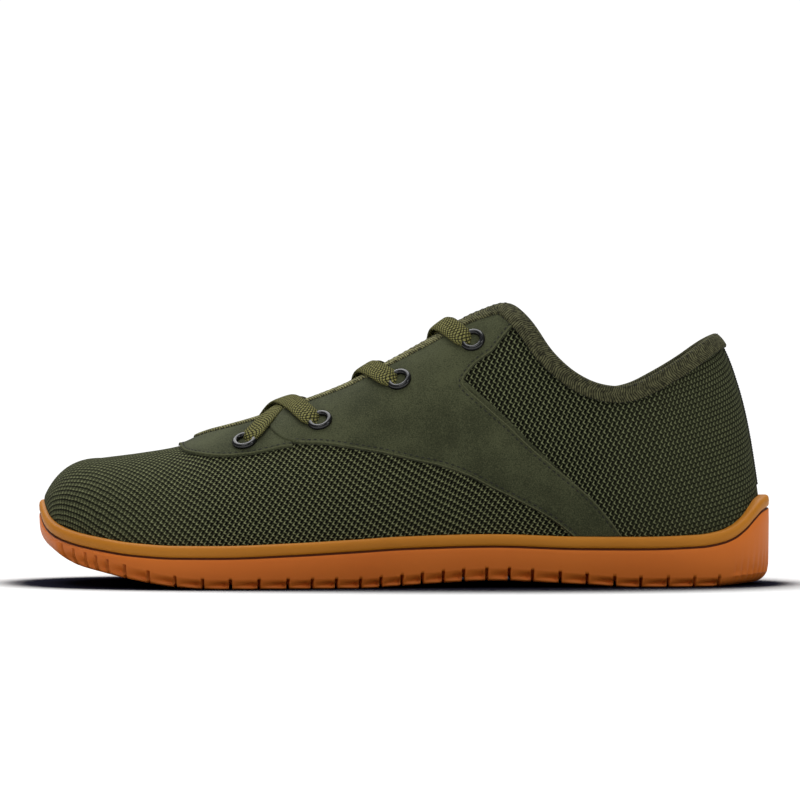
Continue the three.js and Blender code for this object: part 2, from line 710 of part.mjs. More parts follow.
const eyelets = eyeletPlaces();
const pierce = (body, side) =>
  eyelets.filter((place) => !side || place.side === side).reduce((rest, place) => rest.subtract(eyeletHole(place)), body);

addPiece("outsole", "rubber", makeOutsole());
addPiece("upper", "knit", pierce(makeUpper()));
addPiece("insole", "lining", makeInsole());
addPiece("tongue", "knit", makeTongue());
addPiece("toe_eyestay", "suede", pierce(makeEyestay()));
addPiece("side_panel_outer", "suede", pierce(makePanel(-1)));
addPiece("side_panel_inner", "suede", pierce(makePanel(1)));
addPiece("collar_binding", "tape", makeBinding());
for (const place of eyelets) addPiece(place.name, "metal", makeEyelet(place));
for (let row = 0; row < eyeletRows.length - 1; row++) addPiece(`lace_crossing_${row + 1}`, "lace", makeCrossing(row));

// The origin is under the middle of the shoe's box
const box = new THREE.Box3().setFromObject(shoe);
shoe.position.set(-(box.min.x + box.max.x) / 2, -(box.min.y + box.max.y) / 2, -box.min.z);

export default shoe;
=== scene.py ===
# %% [markdown]
# # A barefoot shoe
# A low knitted trainer on a flat rubber cup sole, seen from its outer side.
# Every form here comes from the same foot form that the CAD model uses, so each piece lies
# where its solid lies. Lengths in the tables are millimetres and become metres at the end.

# %% Open the frame
import math

import bmesh
import bpy
import numpy as np
from mathutils import Matrix, Vector
from mathutils.bvhtree import BVHTree
from mathutils.kdtree import KDTree


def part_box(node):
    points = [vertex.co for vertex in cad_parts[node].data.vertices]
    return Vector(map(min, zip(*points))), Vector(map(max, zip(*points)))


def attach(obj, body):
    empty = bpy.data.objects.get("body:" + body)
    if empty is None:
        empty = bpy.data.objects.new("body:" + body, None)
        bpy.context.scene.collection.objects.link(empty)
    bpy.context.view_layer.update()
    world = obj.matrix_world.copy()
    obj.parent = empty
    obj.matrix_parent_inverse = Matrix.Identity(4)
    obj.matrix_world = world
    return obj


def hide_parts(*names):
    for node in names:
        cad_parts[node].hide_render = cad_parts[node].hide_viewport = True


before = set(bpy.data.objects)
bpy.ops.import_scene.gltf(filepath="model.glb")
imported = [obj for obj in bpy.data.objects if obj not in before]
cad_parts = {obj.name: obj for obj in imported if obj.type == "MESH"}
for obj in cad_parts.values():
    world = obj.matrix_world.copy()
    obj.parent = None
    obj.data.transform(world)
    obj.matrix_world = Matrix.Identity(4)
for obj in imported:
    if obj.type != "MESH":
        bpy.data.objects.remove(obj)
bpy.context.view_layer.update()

# %% [markdown]
# ## The camera
# A product photograph of a shoe is taken from far away with a long lens, level with the shoe, so
# that the sole stays straight. The camera comes first because every later choice is judged in it.

# %% Place the camera
CAMERA_PLACE = (-0.00107, -1.5, 0.0705)
CAMERA_LENS = 175.5
scene = bpy.context.scene
camera_data = bpy.data.cameras.new("camera")
camera_data.lens = CAMERA_LENS
camera_data.sensor_width = 36.0
camera_data.clip_end = 20.0
camera = bpy.data.objects.new("camera", camera_data)
camera.location = CAMERA_PLACE
camera.rotation_euler = (math.pi / 2, 0.0, 0.0)
scene.collection.objects.link(camera)
scene.camera = camera
scene.view_settings.view_transform = "Standard"

# %% [markdown]
# ## The foot form
# A shoe is lasted: the knit is pulled over a solid foot shape and takes its form. The same idea
# works here. A few tables hold the outline of the sole, its levels and the crown of the foot, and
# smooth curves run through them.

# %% Tables of the shoe
LENGTH = 281.0
BALL_WIDTH = 106.0
INSTEP = 110.0
HEEL = 96.0
RIM_HEIGHT = 20.0
BED_HEIGHT = 8.0
TOE_SPRING = 12.5
RIM_BAND = 4.2
RIM_WIDTH = 2.6
GROOVE_DEPTH = 0.8
GROOVE_HEIGHT = 0.9
EDGE_RADIUS = 2.2
UPPER_WALL = 2.0
OVERLAY_WALL = 1.0
CLEARANCE = 0.3
BINDING_WIDTH = 5.4
THROAT_GAP = 17.5
THROAT_START = 66.0
SLOT_WIDTH = 1.2
SLOT_HEIGHT = 3.8
SLOT_DEPTH = 5.0
TREAD_GROOVE = 1.4

# share of the length, outer half width, inner half width
OUTLINE = (
    (0.0, -0.14, 0.14), (0.02, 0.155, 0.31), (0.06, 0.302, 0.418), (0.12, 0.412, 0.474),
    (0.2, 0.482, 0.492), (0.28, 0.5, 0.475), (0.35, 0.475, 0.43), (0.45, 0.425, 0.37),
    (0.55, 0.38, 0.33), (0.65, 0.36, 0.318), (0.75, 0.352, 0.338), (0.86, 0.332, 0.33),
    (0.94, 0.26, 0.265), (0.985, 0.14, 0.14), (1.0, 0.0, 0.0),
)
# share of the length, tread, bed, rim, lower edge
SOLE = (
    (0.0, 1.0, 2.4, 1.6, 4.6), (0.003, 0.97, 2.38, 1.56, 4.6), (0.01, 0.93, 2.32, 1.4, 4.5),
    (0.017, 0.88, 2.26, 1.29, 4.2), (0.03, 0.78, 2.15, 1.17, 3.6), (0.057, 0.62, 1.9, 1.045, 2.4),
    (0.09, 0.48, 1.65, 0.955, 1.5), (0.14, 0.26, 1.3, 0.855, 1.0), (0.2, 0.06, 1.06, 0.81, 0.9),
    (0.25, 0.0, 1.0, 0.81, 0.9), (0.36, 0.0, 1.0, 0.86, 0.9), (0.44, 0.0, 1.0, 0.92, 0.9),
    (0.5, 0.07, 1.03, 0.97, 1.0), (0.62, 0.21, 1.1, 1.01, 1.0), (0.74, 0.09, 1.06, 0.96, 1.0),
    (0.82, 0.0, 1.02, 0.955, 1.0), (0.9, 0.0, 1.02, 0.99, 1.2), (0.93, 0.0, 1.04, 1.06, 1.7),
    (0.947, 0.02, 1.06, 1.15, 2.1), (0.964, 0.04, 1.08, 1.32, 2.5), (0.976, 0.05, 1.1, 1.49, 2.8),
    (0.988, 0.06, 1.12, 1.64, 3.0), (1.0, 0.06, 1.12, 1.71, 3.0),
)
# share of the length, crown height, sideways shift, roundness, lean of the lower wall
CROWN = (
    (0.085, 0.438, 0.055, 2.35, 0.0), (0.14, 0.456, 0.05, 2.3, 0.0), (0.195, 0.481, 0.04, 2.15, 0.0),
    (0.245, 0.54, 0.03, 2.0, 0.0), (0.3, 0.583, 0.025, 1.95, 0.0), (0.36, 0.638, 0.02, 1.97, 0.04),
    (0.42, 0.7, 0.016, 2.02, 0.08), (0.48, 0.782, 0.012, 2.12, 0.12), (0.54, 0.872, 0.01, 2.2, 0.15),
    (0.6, 0.962, 0.008, 2.28, 0.18), (0.65, 1.0, 0.006, 2.38, 0.22), (0.75, 1.01, 0.003, 2.6, 0.26),
    (0.85, 0.985, 0.0, 2.25, 0.4),
)
# share of the length, height of the collar's edge
COLLAR = (
    (0.634, 1.121), (0.646, 1.118), (0.656, 1.102), (0.675, 1.043), (0.701, 0.927), (0.735, 0.837),
    (0.765, 0.797), (0.788, 0.787), (0.811, 0.8), (0.843, 0.846), (0.875, 0.902), (0.92, 0.992),
    (0.955, 1.03),
)
# Side outlines: share of the length, height
PANEL_FRONT = (
    (0.318, 0.6), (0.322, 0.533), (0.332, 0.511), (0.345, 0.495), (0.364, 0.488), (0.391, 0.487),
    (0.425, 0.476), (0.477, 0.454), (0.522, 0.428), (0.549, 0.413), (0.59, 0.376), (0.63, 0.324),
    (0.671, 0.272), (0.702, 0.225), (0.736, 0.155),
)
PANEL_REAR = (
    (0.67, 0.86), (0.621, 0.806), (0.6, 0.768), (0.588, 0.735), (0.582, 0.71), (0.583, 0.692),
    (0.596, 0.658), (0.631, 0.579), (0.672, 0.48), (0.713, 0.392), (0.753, 0.303), (0.773, 0.245),
    (0.799, 0.155),
)
EYESTAY = (
    (0.194, 0.485), (0.199, 0.468), (0.21, 0.455), (0.235, 0.446), (0.26, 0.443), (0.285, 0.448),
    (0.308, 0.456), (0.337, 0.474), (0.352, 0.478),
)
EYELETS = ((0.288, 0.491), (0.389, 0.562), (0.496, 0.704), (0.595, 0.841))
SLOTS = (
    0.041, 0.058, 0.075, 0.09, 0.106, 0.13, 0.162, 0.198, 0.235, 0.272, 0.31, 0.348, 0.38, 0.412, 0.444,
    0.471, 0.499, 0.526, 0.554, 0.581, 0.612, 0.642, 0.673, 0.71, 0.746, 0.783, 0.818, 0.855, 0.891, 0.925,
)
TOE_POLE = CROWN[0][0]
HEEL_POLE = CROWN[-1][0]


# %% Smooth curves through the tables
def follow(rows, column):
    """A smooth curve through one column of a table, without overshoot."""
    xs = np.array([row[0] for row in rows])
    ys = np.array([row[column] for row in rows])
    rise = np.diff(ys) / np.diff(xs)
    before = np.concatenate([rise[:1], rise])
    after = np.concatenate([rise, rise[-1:]])
    same = before * after > 0
    slope = np.where(same, 2 * before * after / np.where(same, before + after, 1.0), 0.0)

    def curve(at):
        here = np.clip(at, xs[0], xs[-1])
        i = np.clip(np.searchsorted(xs, here) - 1, 0, len(xs) - 2)
        gap = xs[i + 1] - xs[i]
        t = (here - xs[i]) / gap
        start = (1 + 2 * t) * (1 - t) ** 2 * ys[i] + t * (1 - t) ** 2 * gap * slope[i]
        return start + t * t * (3 - 2 * t) * ys[i + 1] + t * t * (t - 1) * gap * slope[i + 1]

    return curve


tread_at, bed_at, rim_at, edge_at = (follow(SOLE, k) for k in (1, 2, 3, 4))
crown_height, crown_middle, crown_round, crown_lean = (follow(CROWN, k) for k in (1, 2, 3, 4))
collar_at = follow(COLLAR, 1)


def along(at):
    """Place along the shoe of a share of its length."""
    return (at - 0.5) * LENGTH


def share(x):
    return x / LENGTH + 0.5


def rounded_loop(corners, steps):
    """A closed centripetal curve through corners."""
    count = len(corners)
    points = []
    for i in range(count):
        a, b, c, d = (corners[(i + k) % count] for k in (-1, 0, 1, 2))
        first, second, third = (max(np.hypot(*(q - p)) ** 0.5, 1e-6) for p, q in ((a, b), (b, c), (c, d)))
        leave = ((b - a) / first - (c - a) / (first + second) + (c - b) / second) * second
        arrive = ((c - b) / second - (d - b) / (second + third) + (d - c) / third) * second
        for k in range(steps):
            t = k / steps
            points.append(
                b + leave * t + (3 * (c - b) - 2 * leave - arrive) * t ** 2
                + (2 * (b - c) + leave + arrive) * t ** 3
            )
    return np.array(points)


outer_corners = [np.array([along(at), -outer * BALL_WIDTH]) for at, outer, _ in OUTLINE[1:]]
inner_corners = [np.array([along(at), inner * BALL_WIDTH]) for at, _, inner in OUTLINE[:-1]]
outline = rounded_loop(outer_corners + inner_corners[::-1], 60)
heading = np.roll(outline, -1, axis=0) - np.roll(outline, 1, axis=0)
heading /= np.linalg.norm(heading, axis=1)[:, None]
facing = np.stack([heading[:, 1], -heading[:, 0]], axis=1)
tip = int(outline[:, 0].argmin())
chain = np.concatenate([np.roll(outline, -tip, axis=0), outline[tip:tip + 1]])
chain_facing = np.concatenate([np.roll(facing, -tip, axis=0), facing[tip:tip + 1]])
chain_run = np.concatenate([[0.0], np.cumsum(np.hypot(*np.diff(chain, axis=0).T))])
LOOP = chain_run[-1]
BACK = chain_run[int(chain[:, 0].argmax())]
print("outline", round(LOOP, 1), "mm round, heel back at", round(BACK, 1))


def foot_at(run):
    """Outline points and outward directions at distances from the toe tip, outer side first."""
    run = np.mod(run, LOOP)
    spot = np.stack([np.interp(run, chain_run, chain[:, k]) for k in (0, 1)], axis=-1)
    out = np.stack([np.interp(run, chain_run, chain_facing[:, k]) for k in (0, 1)], axis=-1)
    return spot, out / np.linalg.norm(out, axis=-1)[..., None]


def run_at(at, side):
    """Distance round the outline to a share of the length on the outer (-1) or inner (1) side."""
    back = int(chain[:, 0].argmax())
    if side < 0:
        return np.interp(along(at), chain[:back + 1, 0], chain_run[:back + 1])
    return np.interp(along(at), chain[back:, 0][::-1], chain_run[back:][::-1])


def spine(at):
    """The crown line of the foot form."""
    at = np.clip(at, TOE_POLE, HEEL_POLE)
    return np.stack([along(at), crown_middle(at) * BALL_WIDTH, crown_height(at) * INSTEP], axis=-1)


def bed_level(x):
    return bed_at(share(x)) * BED_HEIGHT + CLEARANCE


def form(run, turn):
    """A point of the foot form: run goes round the outline, turn from the bed up to the crown."""
    spot, out = foot_at(run)
    foot = spot - out * RIM_WIDTH
    at = np.clip(share(spot[..., 0]), TOE_POLE, HEEL_POLE)
    top = spine(at)
    power = 2 / crown_round(at)
    rise = np.sin(turn) ** power
    inward = 1 - np.maximum(np.cos(turn), 0) ** power + crown_lean(at) * rise * (1 - rise) ** 2
    low = bed_level(spot[..., 0])
    return np.stack([
        foot[..., 0] + (top[..., 0] - foot[..., 0]) * inward,
        foot[..., 1] + (top[..., 1] - foot[..., 1]) * inward,
        low + (top[..., 2] - low) * rise,
    ], axis=-1)


def form_normal(run, turn):
    """The outward direction of the form."""
    turn = np.clip(turn, 0.02, math.pi / 2 - 0.02)
    round_step = form(run + 0.6, turn) - form(run - 0.6, turn)
    up_step = form(run, turn + 0.015) - form(run, turn - 0.015)
    normal = np.cross(round_step, up_step)
    normal /= np.maximum(np.linalg.norm(normal, axis=-1), 1e-9)[..., None]
    _, out = foot_at(run)
    flip = (normal[..., 0] * out[..., 0] + normal[..., 1] * out[..., 1] + 0.2 * normal[..., 2]) < 0
    return np.where(flip[..., None], -normal, normal)


# %% [markdown]
# ## The map of the upper
# Panels, seams and laces are laid out on a flat map, as a pattern cutter does. One direction of the
# map runs along the shoe, the other is the distance from the crown line down either side.

# %% Lay out the map
MAP_STATIONS = 260
MAP_LEVELS = 161
map_at = np.linspace(TOE_POLE, HEEL_POLE, MAP_STATIONS)
map_turns = np.linspace(math.pi / 2, 0.02, 400)
map_share = np.linspace(0.0, 1.0, MAP_LEVELS)


def build_map(side):
    """Points and directions of one side at even distances below the crown, and each station's depth."""
    places = np.zeros((MAP_STATIONS, MAP_LEVELS, 3))
    faces = np.zeros((MAP_STATIONS, MAP_LEVELS, 3))
    depth = np.zeros(MAP_STATIONS)
    for i, at in enumerate(map_at):
        run = float(run_at(at, side))
        fine = form(np.full(len(map_turns), run), map_turns)
        walked = np.concatenate([[0.0], np.cumsum(np.linalg.norm(np.diff(fine, axis=0), axis=1))])
        depth[i] = walked[-1]
        turns = np.interp(map_share * depth[i], walked, map_turns)
        places[i] = form(np.full(MAP_LEVELS, run), turns)
        faces[i] = form_normal(np.full(MAP_LEVELS, run), turns)
    top = np.gradient(spine(map_at), axis=0)
    upright = np.stack([-top[:, 2], np.zeros(MAP_STATIONS), top[:, 0]], axis=1)
    upright /= np.linalg.norm(upright, axis=1)[:, None]
    blend = np.clip(1 - map_share * depth.mean() / 3.0, 0, 1)[None, :, None]
    faces = faces * (1 - blend) + upright[:, None, :] * blend
    return places, faces / np.linalg.norm(faces, axis=2)[..., None], depth


side_map = {side: build_map(side) for side in (-1, 1)}


def on_form(u, v):
    """Point and outward direction at a place of the map: u along the shoe, v below the crown."""
    u, v = np.broadcast_arrays(np.asarray(u, float), np.asarray(v, float))
    spot = np.clip((share(u) - TOE_POLE) / (HEEL_POLE - TOE_POLE), 0, 1) * (MAP_STATIONS - 1)
    i = np.minimum(spot.astype(int), MAP_STATIONS - 2)
    a = (spot - i)[..., None]
    result = []
    for side in (-1, 1):
        places, faces, depth = side_map[side]
        deep = depth[i] * (1 - a[..., 0]) + depth[i + 1] * a[..., 0]
        level = np.clip(np.abs(v) / deep, 0, 1) * (MAP_LEVELS - 1)
        j = np.minimum(level.astype(int), MAP_LEVELS - 2)
        b = (level - j)[..., None]
        mixed = []
        for table in (places, faces):
            low = table[i, j] * (1 - a) + table[i + 1, j] * a
            high = table[i, j + 1] * (1 - a) + table[i + 1, j + 1] * a
            mixed.append(low * (1 - b) + high * b)
        result.append(mixed)
    outer = (v < 0)[..., None]
    point = np.where(outer, result[0][0], result[1][0])
    normal = np.where(outer, result[0][1], result[1][1])
    return point, normal / np.linalg.norm(normal, axis=-1)[..., None]


def seen_from_side(x, z, side):
    """The place of the map that shows at x and z from one side."""
    places, _, depth = side_map[side]
    u = x
    for _ in range(3):
        spot = np.clip((share(u) - TOE_POLE) / (HEEL_POLE - TOE_POLE), 0, 1) * (MAP_STATIONS - 1)
        i = min(int(spot), MAP_STATIONS - 2)
        a = spot - i
        line = places[i] * (1 - a) + places[i + 1] * a
        level = np.interp(-z, -line[:, 2], map_share)
        u += x - np.interp(level, map_share, line[:, 0])
    return float(u), float(side * level * (depth[i] * (1 - a) + depth[i + 1] * a))


def seen_from_above(x, y):
    """The place of the map that shows at x and y from above."""
    middle = float(crown_middle(share(x))) * BALL_WIDTH
    side = -1 if y < middle else 1
    places, _, depth = side_map[side]
    spot = np.clip((share(x) - TOE_POLE) / (HEEL_POLE - TOE_POLE), 0, 1) * (MAP_STATIONS - 1)
    i = min(int(spot), MAP_STATIONS - 2)
    a = spot - i
    line = places[i] * (1 - a) + places[i + 1] * a
    level = np.interp(abs(y - middle), np.abs(line[:90, 1] - middle), map_share[:90])
    return float(x), float(side * level * (depth[i] * (1 - a) + depth[i + 1] * a))


def smooth_line(rows, size, side, count):
    """A table's side outline as evenly spaced places of the map."""
    raw = np.array([seen_from_side(float(along(at)), height * size, side) for at, height in rows])
    ext = np.concatenate([[2 * raw[0] - raw[1]], raw, [2 * raw[-1] - raw[-2]]])
    fine = []
    for k in range(1, len(ext) - 2):
        for t in np.linspace(0, 1, 12, endpoint=False):
            a, b, c, d = ext[k - 1:k + 3]
            fine.append(0.5 * (2 * b + (c - a) * t + (2 * a - 5 * b + 4 * c - d) * t ** 2
                               + (3 * b - a - 3 * c + d) * t ** 3))
    return even(np.array(fine + [raw[-1]]), count)


def even(points, count):
    """Points at even distances along a line."""
    steps = np.concatenate([[0.0], np.cumsum(np.linalg.norm(np.diff(points, axis=0), axis=1))])
    want = np.linspace(0, steps[-1], count)
    return np.stack([np.interp(want, steps, points[:, k]) for k in range(points.shape[1])], axis=1)


print("map depth at the ball", round(float(side_map[-1][2][60]), 1))

# %% [markdown]
# ## Making pieces
# A grid is created flat and each of its corners is then set on the form. Doubled corners along the
# joins are merged, and the faces are turned outwards.

# %% Helpers that make pieces
low_corner, high_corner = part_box("outsole")
shift = Vector((
    (low_corner[0] + high_corner[0]) / 2 - (outline[:, 0].min() + outline[:, 0].max()) / 2000,
    (low_corner[1] + high_corner[1]) / 2 - (outline[:, 1].min() + outline[:, 1].max()) / 2000,
    0.0,
))
print("shift", shift)


def finish_piece(name, mesh_data, material, replaced=()):
    """An object from a bmesh, riding on the shoe."""
    mesh = bpy.data.meshes.new(name)
    mesh_data.to_mesh(mesh)
    mesh_data.free()
    piece = bpy.data.objects.new(name, mesh)
    scene.collection.objects.link(piece)
    for polygon in mesh.polygons:
        polygon.use_smooth = True
    mesh.materials.append(material)
    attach(piece, "root")
    if replaced:
        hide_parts(*replaced)
    return piece


def lay_grid(points, uvs=None, merge=0.00002):
    """A grid whose corners are set on an array of points in millimetres, rows by columns."""
    rows, cols = points.shape[:2]
    part = bmesh.new()
    uv_layer = part.loops.layers.uv.new("UVMap")
    bmesh.ops.create_grid(part, x_segments=cols - 1, y_segments=rows - 1, size=0.5)
    spots = {}
    for vert in part.verts:
        spots[vert] = (round((vert.co.y + 0.5) * (rows - 1)), round((vert.co.x + 0.5) * (cols - 1)))
    if uvs is not None:
        for face in part.faces:
            for loop in face.loops:
                loop[uv_layer].uv = uvs[spots[loop.vert]] / 100.0
    for vert, (r, c) in spots.items():
        vert.co = Vector(points[r, c] / 1000.0) + shift
    bmesh.ops.remove_doubles(part, verts=part.verts, dist=merge)
    bmesh.ops.recalc_face_normals(part, faces=part.faces)
    return part


def face_outwards(part, probe, direction):
    """Turns all faces if the one nearest a point looks away from a direction."""
    part.faces.ensure_lookup_table()
    place = Vector(probe / 1000.0) + shift
    nearest = min(part.faces, key=lambda face: (face.calc_center_median() - place).length)
    if nearest.normal.dot(Vector(direction)) < 0:
        bmesh.ops.reverse_faces(part, faces=part.faces)


def join_parts(target, others):
    """Adds other bmeshes to the first."""
    for other in others:
        mesh = bpy.data.meshes.new("join")
        other.to_mesh(mesh)
        other.free()
        target.from_mesh(mesh)
        bpy.data.meshes.remove(mesh)
    return target


# %% [markdown]
# ## Materials
# The gum rubber is a soft-gloss amber. The knit, the suede and the tape are matte cloths whose
# relief comes from a bump. Their patterns are drawn with plain arithmetic on each piece's own map:
# two slanting waves cross in the knit, and a V of yarn with two small holes stands in every cell.

# %% Material helpers
def srgb(r, g, b):
    """A colour as the eye measures it, turned into light values."""
    def light(c):
        c /= 255.0
        return c / 12.92 if c <= 0.04045 else ((c + 0.055) / 1.055) ** 2.4
    return (light(r), light(g), light(b), 1.0)


class Paint:
    """Builds one node material."""

    def __init__(self, name, color, rough, coat=0.0, sheen=0.0, specular=0.5):
        self.material = bpy.data.materials.new(name)
        self.material.use_nodes = True
        self.tree = self.material.node_tree
        self.shader = self.tree.nodes["Principled BSDF"]
        self.shader.inputs["Base Color"].default_value = color
        self.shader.inputs["Roughness"].default_value = rough
        self.shader.inputs["Coat Weight"].default_value = coat
        self.shader.inputs["Sheen Weight"].default_value = sheen
        self.shader.inputs["Specular IOR Level"].default_value = specular
        self.material.diffuse_color = color
        self.coords = self.tree.nodes.new("ShaderNodeTexCoord")

    def put(self, socket, value):
        """Links a socket or sets a number."""
        if isinstance(value, bpy.types.NodeSocket):
            self.tree.links.new(value, socket)
        else:
            socket.default_value = value

    def math(self, kind, a, b=0.0, c=0.0):
        node = self.tree.nodes.new("ShaderNodeMath")
        node.operation = kind
        for socket, value in zip(node.inputs, (a, b, c)):
            self.put(socket, value)
        return node.outputs[0]

    def axes(self, source):
        node = self.tree.nodes.new("ShaderNodeSeparateXYZ")
        self.put(node.inputs[0], self.coords.outputs[source])
        return node.outputs

    def noise(self, scale, detail=2.0, source="Object", rough=0.5):
        node = self.tree.nodes.new("ShaderNodeTexNoise")
        self.put(node.inputs["Vector"], self.coords.outputs[source])
        node.inputs["Scale"].default_value = scale
        node.inputs["Detail"].default_value = detail
        node.inputs["Roughness"].default_value = rough
        return node.outputs[0]

    def ramp(self, value, low, high):
        """A value spread from low..high to 0..1, clamped."""
        node = self.tree.nodes.new("ShaderNodeMapRange")
        self.put(node.inputs["Value"], value)
        self.put(node.inputs["From Min"], low)
        self.put(node.inputs["From Max"], high)
        return node.outputs[0]

    def mix(self, share_of_b, a, b, kind="MIX"):
        node = self.tree.nodes.new("ShaderNodeMix")
        node.data_type = "RGBA"
        node.blend_type = kind
        self.put(node.inputs[0], share_of_b)
        self.put(node.inputs[6], a)
        self.put(node.inputs[7], b)
        return node.outputs[2]

    def color(self, value):
        self.put(self.shader.inputs["Base Color"], value)

    def bump(self, height, strength, distance):
        node = self.tree.nodes.new("ShaderNodeBump")
        node.inputs["Strength"].default_value = strength
        node.inputs["Distance"].default_value = distance
        self.put(node.inputs["Height"], height)
        self.put(self.shader.inputs["Normal"], node.outputs[0])


# Half a stitch's width and height, and the places of its two holes, in millimetres.
STITCH_REACH = (1.1, 1.46)
STITCH_HOLES = ((0.66, 0.02), (-0.06, -1.0))


def knit_paint(name, light, dark, waves, valley=None, rows=(1, 0), row_start=0.0):
    """A knit of staggered V stitches, with a hole inside and one below each of them.

    waves holds the two repeats of the pattern in turns a millimetre. Where the valley runs, from no
    effect to its full effect along the shoe, the rows draw together to ribs.
    """
    paint = Paint(name, light, 0.95, specular=0.05)
    u, v, _ = paint.axes("UV")
    wobble = paint.math("MULTIPLY_ADD", paint.noise(260.0, 2.0), 0.36, -0.18)
    turns = []
    for along_u, along_v in waves:
        turn = paint.math("MULTIPLY_ADD", v, 100.0 * along_v, wobble)
        turns.append(paint.math("MULTIPLY_ADD", u, 100.0 * along_u, turn))
    p, q = (paint.math("SUBTRACT", paint.math("FRACT", turn), 0.5) for turn in turns)
    dx = paint.math("MULTIPLY", paint.math("ADD", p, q), STITCH_REACH[0])
    dy = paint.math("MULTIPLY", paint.math("SUBTRACT", p, q), STITCH_REACH[1])
    high = paint.math("ABSOLUTE", dy)
    away = paint.math("ABSOLUTE", paint.math("MULTIPLY_ADD", high, -1.1, paint.math("ADD", dx, 0.36)))
    yarn = paint.math("MULTIPLY", paint.ramp(away, 0.46, 0.1), paint.ramp(high, 0.84, 0.5))
    holes = []
    for hole_x, hole_y in STITCH_HOLES:
        off_x = paint.math("SUBTRACT", dx, hole_x)
        off_y = paint.math("SUBTRACT", dy, hole_y)
        squares = paint.math("MULTIPLY_ADD", off_x, off_x, paint.math("MULTIPLY", off_y, off_y))
        far = paint.math("SQRT", squares)
        holes.append(paint.ramp(far, 0.68, 0.3))
    hole = paint.math("MAXIMUM", holes[0], holes[1])
    dents = paint.math("MULTIPLY_ADD", yarn, 0.93, 0.07)
    dents = paint.math("MULTIPLY", dents, paint.math("SUBTRACT", 1.0, hole))
    if valley:
        ridge = paint.math("MULTIPLY_ADD", turns[1], rows[1], row_start)
        ridge = paint.math("MULTIPLY_ADD", turns[0], rows[0], ridge)
        ridge = paint.math("ABSOLUTE", paint.math("MULTIPLY_ADD", paint.math("FRACT", ridge), 2.0, -1.0))
        ridge = paint.ramp(ridge, 0.98, 0.45)
        there = paint.math("MULTIPLY", paint.ramp(paint.axes("Object")[0], valley[0], valley[1]), 0.8)
        ridged = paint.math("MULTIPLY", ridge, paint.math("MULTIPLY_ADD", dents, 0.4, 0.16))
        dents = paint.math("ADD", paint.math("MULTIPLY", dents, paint.math("SUBTRACT", 1.0, there)),
                           paint.math("MULTIPLY", ridged, there))
    tone = paint.math("MULTIPLY", dents, paint.math("MULTIPLY_ADD", paint.noise(900.0, 1.0), 0.9, 0.55))
    paint.color(paint.mix(paint.math("MINIMUM", tone, 1.0), dark, light))
    paint.bump(dents, 0.6, 0.0005)
    return paint.material


def suede_paint(name, low, high, grain=2100.0):
    """A smooth nap with fine grain, painted darker low down and lighter at the top as painted light from
    above.
    """
    paint = Paint(name, high, 0.92, sheen=0.04, specular=0.08)
    fine = paint.noise(grain, 3.0, rough=0.7)
    broad = paint.noise(60.0, 3.0)
    tone = paint.math("ADD", paint.math("MULTIPLY", fine, 0.65), paint.math("MULTIPLY", broad, 0.35))
    # Painted light: the tone rises with height, so each piece is painted darker low down and lighter at the
    # top, as if lit from above.
    tone = paint.math("ADD", paint.ramp(tone, 0.41, 0.6), paint.math(
        "MULTIPLY_ADD", paint.ramp(paint.axes("Object")[2], 0.02, 0.085), 0.35, -0.2))
    paint.color(paint.mix(paint.math("MINIMUM", paint.math("MAXIMUM", tone, 0.0), 1.0), low, high))
    paint.bump(fine, 0.35, 0.0003)
    return paint.material


def weave_paint(name, light, dark, pitch):
    """A flat plaited band: slanting yarns that pass over and under each other."""
    paint = Paint(name, light, 0.85, specular=0.1)
    u, v, _ = paint.axes("UV")
    wobble = paint.math("MULTIPLY_ADD", paint.noise(420.0, 2.0), 0.5, -0.25)
    rising = paint.math("MULTIPLY", paint.math("ADD", u, v), 100.0)
    falling = paint.math("MULTIPLY", paint.math("SUBTRACT", u, v), 100.0)
    a = paint.math("ADD", paint.math("DIVIDE", rising, pitch), wobble)
    b = paint.math("SUBTRACT", paint.math("DIVIDE", falling, pitch), wobble)
    wave_a = paint.math("ABSOLUTE", paint.math("SINE", paint.math("MULTIPLY", a, math.pi)))
    wave_b = paint.math("ABSOLUTE", paint.math("SINE", paint.math("MULTIPLY", b, math.pi)))
    lump = paint.math("MULTIPLY", paint.ramp(wave_a, 0.12, 0.75), paint.ramp(wave_b, 0.12, 0.75))
    tone = paint.math("MULTIPLY", lump, paint.math("MULTIPLY_ADD", paint.noise(1500.0, 1.0), 0.8, 0.6))
    paint.color(paint.mix(paint.math("MINIMUM", tone, 1.0), dark, light))
    paint.bump(lump, 0.8, 0.0006)
    return paint.material


def tape_paint(name, light, dark):
    """A stretch tape with slanting overlock yarns between its two edges, painted paler over the throat for
    the light that falls there.
    """
    paint = Paint(name, light, 0.9, specular=0.1)
    u, v, _ = paint.axes("UV")
    wobble = paint.math("MULTIPLY_ADD", paint.noise(300.0, 3.0), 1.6, -0.8)
    run = paint.math("ADD", paint.math("MULTIPLY", u, 100.0 / 0.95), wobble)
    swing = paint.math("PINGPONG", paint.math("MULTIPLY", v, 100.0 / 3.2), 1.0)
    lines = paint.math("ABSOLUTE", paint.math("SINE", paint.math(
        "MULTIPLY", paint.math("ADD", run, paint.math("MULTIPLY", swing, 1.4)), math.pi)))
    fluff = paint.ramp(paint.noise(700.0, 2.0), 0.2, 0.62)
    tone = paint.math("MULTIPLY", paint.ramp(lines, 0.1, 0.9), fluff)
    # Painted light: towards the front (small x) the light colour is mixed to a paler tone, so the tape over
    # the throat is painted lighter than along the collar.
    front = paint.ramp(paint.axes("Object")[0], 0.035, 0.0)
    paint.color(paint.mix(tone, dark, paint.mix(front, light, srgb(150, 147, 104))))
    paint.bump(lines, 0.5, 0.0003)
    return paint.material


